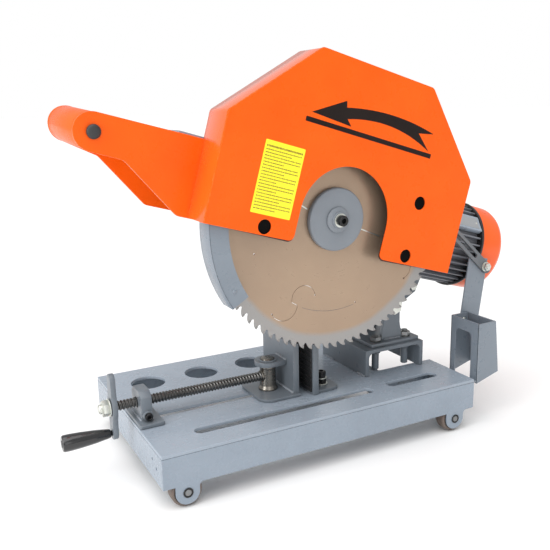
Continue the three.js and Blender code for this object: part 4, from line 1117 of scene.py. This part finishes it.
# ---- chute
def make_chute():
    bar = head_piece("chute_slotted_bar", "dark_grey_paint", "chute_arm")
    bar.plate("y", stadium(212, 52, 364, -24.3, 9), 34.3, 39.3, [stadium(250, 33, 330, -7, 3.5),
        circle(*CHUTE_BOLT, 4.6)], bevel=0.6)
    bar.use("zinc_plate").hexagon("y", (236, 0, 40), 11, 39.3, 44.6)
    bar.done()
    bolt = head_piece("chute_clamp_bolt", "zinc_plate", "chute_bolt")
    at = (CHUTE_BOLT[0], 0, CHUTE_BOLT[1])
    bolt.washer("y", at, 8.6, 32.6, 1.4)
    bolt.hexagon("y", at, 13, 26.8, 32.6, turn=10)
    bolt.turned("y", at, [(0, 24.6), (3.6, 24.6), (4.2, 25.4), (4.2, 45), (0, 45)])
    bolt.done()
    strap = Piece("chute_strap", "blue_grey_half_shaded_copy", "chute_hanger", body="head")
    x, z = in_base(*CHUTE_BOLT)
    outline = soften([(607, 184), (650, 178), (632, 58), (590, 64)], 2.5)
    strap.plate("y", outline, 89.6, 92.6, [circle(x, z, 4.6)], bevel=0.5)
    strap.use("zinc_plate").turned("y", (596, 0, 74), [(0, 96), (2.6, 95.6), (3.6, 93.8), (3.6, 92.6),
        (3, 92.4), (3, 86.8), (4.6, 86.5), (4.2, 84.6), (2.4, 83.4), (0, 83.2)], steps=28)
    strap.done()

    chute = Piece("chute_folded_box", "blue_grey_half_shaded_copy", "chip_chute", body="head")
    front, rear, sheet = 20, 89.3, 2.5
    wall = [(570, -20), (618, -6), (608, 86), (570, 86)]
    chute.plate("y", wall, front, front + sheet, bevel=0.5)
    chute.plate("y", wall, rear - sheet, rear, [circle(596, 74, 3.6)], bevel=0.5)
    chute.plate("y", [(618, -6), (608, 86), (605.5, 86), (615.5, -6.8)], front + 0.6, rear - 0.6, bevel=0.4)
    inlet = [(front + 0.4, -20), (38, -20), (38, 57)] + arc(47, 57, 9, 180, 90) + arc(68, 57, 9, 90,
        0) + [(77, -20), (rear - 0.4, -20)]
    inlet += [(rear - 0.4, 86), (front + 0.4, 86)]
    chute.plate("x", inlet, 570, 572.5, bevel=0.5)
    chute.weld([(571, front + 0.6, -16), (571, front + 0.6, 82)], 0.8, seed=41)
    chute.done()


def in_base(x, z):
    """A HEAD point's x and z, in BASE."""
    c, s = cos(TILT), sin(TILT)
    return BLADE_CENTRE[0] + x * c + z * s, BLADE_CENTRE[2] - x * s + z * c


# ---- decals
def make_decals():
    face = FRONT - 0.15
    label = head_piece("blank_yellow_label", "label_yellow", slot="orange_paint")
    label.plate("y", rectangle(-151, -88, -16, 84, 1.5), face - 0.15, face, bevel=0.03)
    label.use("label_ink")
    chance = random.Random(7)
    for row in range(21):
        z = 75 - row * 4.25
        x, last = -148.0, -91 - (row % 3 == 2) * chance.uniform(4, 30)
        while x < last - 1:
            length = min(chance.uniform(1.2, 3.2), last - x)
            tall = 2.6 if row == 0 else 1.5
            label.plate("y", rectangle(x, x + length, z, z + tall), face - 0.2, face - 0.12, bevel=0.01)
            x += length + chance.uniform(0.5, 0.9)
    label.done()

    arrow = head_piece("rotation_arrow", "arrow_black", slot="orange_paint")
    outer = bowed((-38, 156), (124, 158.5), 8.7)
    inner = bowed((122, 131.5), (-33, 141), -13.5)
    outline = [(-92, 136), (-40.5, 165)] + outer + [(96, 153)] + inner + [(-24, 132.5)]
    arrow.plate("y", outline, face - 0.15, face, bevel=0.03)
    arrow.plate("y", rectangle(-99, 128.5, 122, 128.8, 0.6), face - 0.15, face, bevel=0.03)
    arrow.done()


def bowed(start, end, rise, steps=20):
    """A bow from start to end that rises to the left of the line between them, or falls if negative."""
    a, b = Vector(start), Vector(end)
    up = Vector((-(b - a).y, (b - a).x)).normalized() * rise
    return [tuple(a.lerp(b, k / steps) + up * (1 - (2 * k / steps - 1) ** 2)) for k in range(steps + 1)]


# ---- studio
def make_studio():
    """A wide pale floor, a broad, soft light from above, and weaker ones from the left and the front."""
    scene = bpy.context.scene
    scene.view_settings.view_transform = "Standard"
    floor_mesh = bpy.data.meshes.new("studio_floor")
    made = bmesh.new()
    bmesh.ops.create_grid(made, x_segments=1, y_segments=1, size=60)
    made.to_mesh(floor_mesh)
    made.free()
    floor = bpy.data.objects.new("studio_floor", floor_mesh)
    floor.location.z = -0.0004
    scene.collection.objects.link(floor)
    paint = bpy.data.materials.new("studio_floor")
    paint.use_nodes = True
    shader = paint.node_tree.nodes["Principled BSDF"]
    shader.inputs["Base Color"].default_value = (0.93, 0.93, 0.93, 1)
    shader.inputs["Roughness"].default_value = 0.8
    shader.inputs["Specular IOR Level"].default_value = 0.1
    floor_mesh.materials.append(paint)

    world = bpy.data.worlds.new("studio")
    world.use_nodes = True
    tree = world.node_tree
    soft = tree.nodes["Background"]
    soft.inputs["Color"].default_value = (1.0, 1.0, 1.0, 1)
    soft.inputs["Strength"].default_value = 0.6
    seen = node(tree, "ShaderNodeBackground", {"Color": (1.0, 1.0, 1.0, 1), "Strength": 1.0})
    both = node(tree, "ShaderNodeMixShader")
    tree.links.new(node(tree, "ShaderNodeLightPath").outputs["Is Camera Ray"], both.inputs[0])
    tree.links.new(soft.outputs[0], both.inputs[1])
    tree.links.new(seen.outputs[0], both.inputs[2])
    tree.links.new(both.outputs[0], tree.nodes["World Output"].inputs["Surface"])
    scene.world = world
    add_sun("overhead", (-0.28, -0.16, 1.0), 2.0, 70)
    add_light("left", (-2.0, -0.5, 0.9), (-0.2, 0, 0.35), 1.1, 15)
    add_light("front", (-0.5, -2.6, 1.0), (0, 0, 0.3), 1.6, 7)


def add_sun(name, towards, strength, spread):
    """Even light from one broad direction."""
    data = bpy.data.lights.new(name, "SUN")
    data.energy, data.angle = strength, radians(spread)
    lamp = bpy.data.objects.new(name, data)
    lamp.rotation_euler = Vector(towards).to_track_quat("Z", "Y").to_euler()
    bpy.context.scene.collection.objects.link(lamp)


def add_light(name, place, aim, size, power):
    """A round, soft lamp."""
    data = bpy.data.lights.new(name, "AREA")
    data.shape, data.size, data.energy = "DISK", size, power
    lamp = bpy.data.objects.new(name, data)
    lamp.location = place
    lamp.rotation_euler = (Vector(aim) - Vector(place)).to_track_quat("-Z", "Y").to_euler()
    bpy.context.scene.collection.objects.link(lamp)


def make_camera():
    """The camera stands to the left of the front, a little above the machine, and looks slightly down."""
    yaw, pitch, roll = radians(27.7), radians(12.9), radians(1.1)
    ahead = Vector((sin(yaw) * cos(pitch), cos(yaw) * cos(pitch), -sin(pitch)))
    across = Vector((cos(yaw), -sin(yaw), 0))
    down = ahead.cross(across)
    right = across * cos(roll) + down * sin(roll)
    lower = down * cos(roll) - across * sin(roll)
    data = bpy.data.cameras.new("camera")
    data.sensor_width, data.lens = 36, 46.8
    data.shift_x, data.shift_y = -0.0051, -0.0064
    camera = bpy.data.objects.new("camera", data)
    turn = Matrix((right, -lower, -ahead)).transposed().to_4x4()
    camera.matrix_world = Matrix.Translation(BASE @ Vector((-262.3, -840.8, 447.2))) @ turn
    bpy.context.scene.collection.objects.link(camera)
    bpy.context.scene.camera = camera


make_finishes()
make_table()
make_skirt()
make_wheels()
make_stand()
make_fixed_jaw()
make_moving_jaw()
make_nut_block()
make_lead_screw()
make_upper_guard()
make_lower_guard()
make_blade()
make_gearbox()
make_motor()
make_swing_arm()
make_handle()
make_chute()
make_decals()
make_studio()
make_camera()
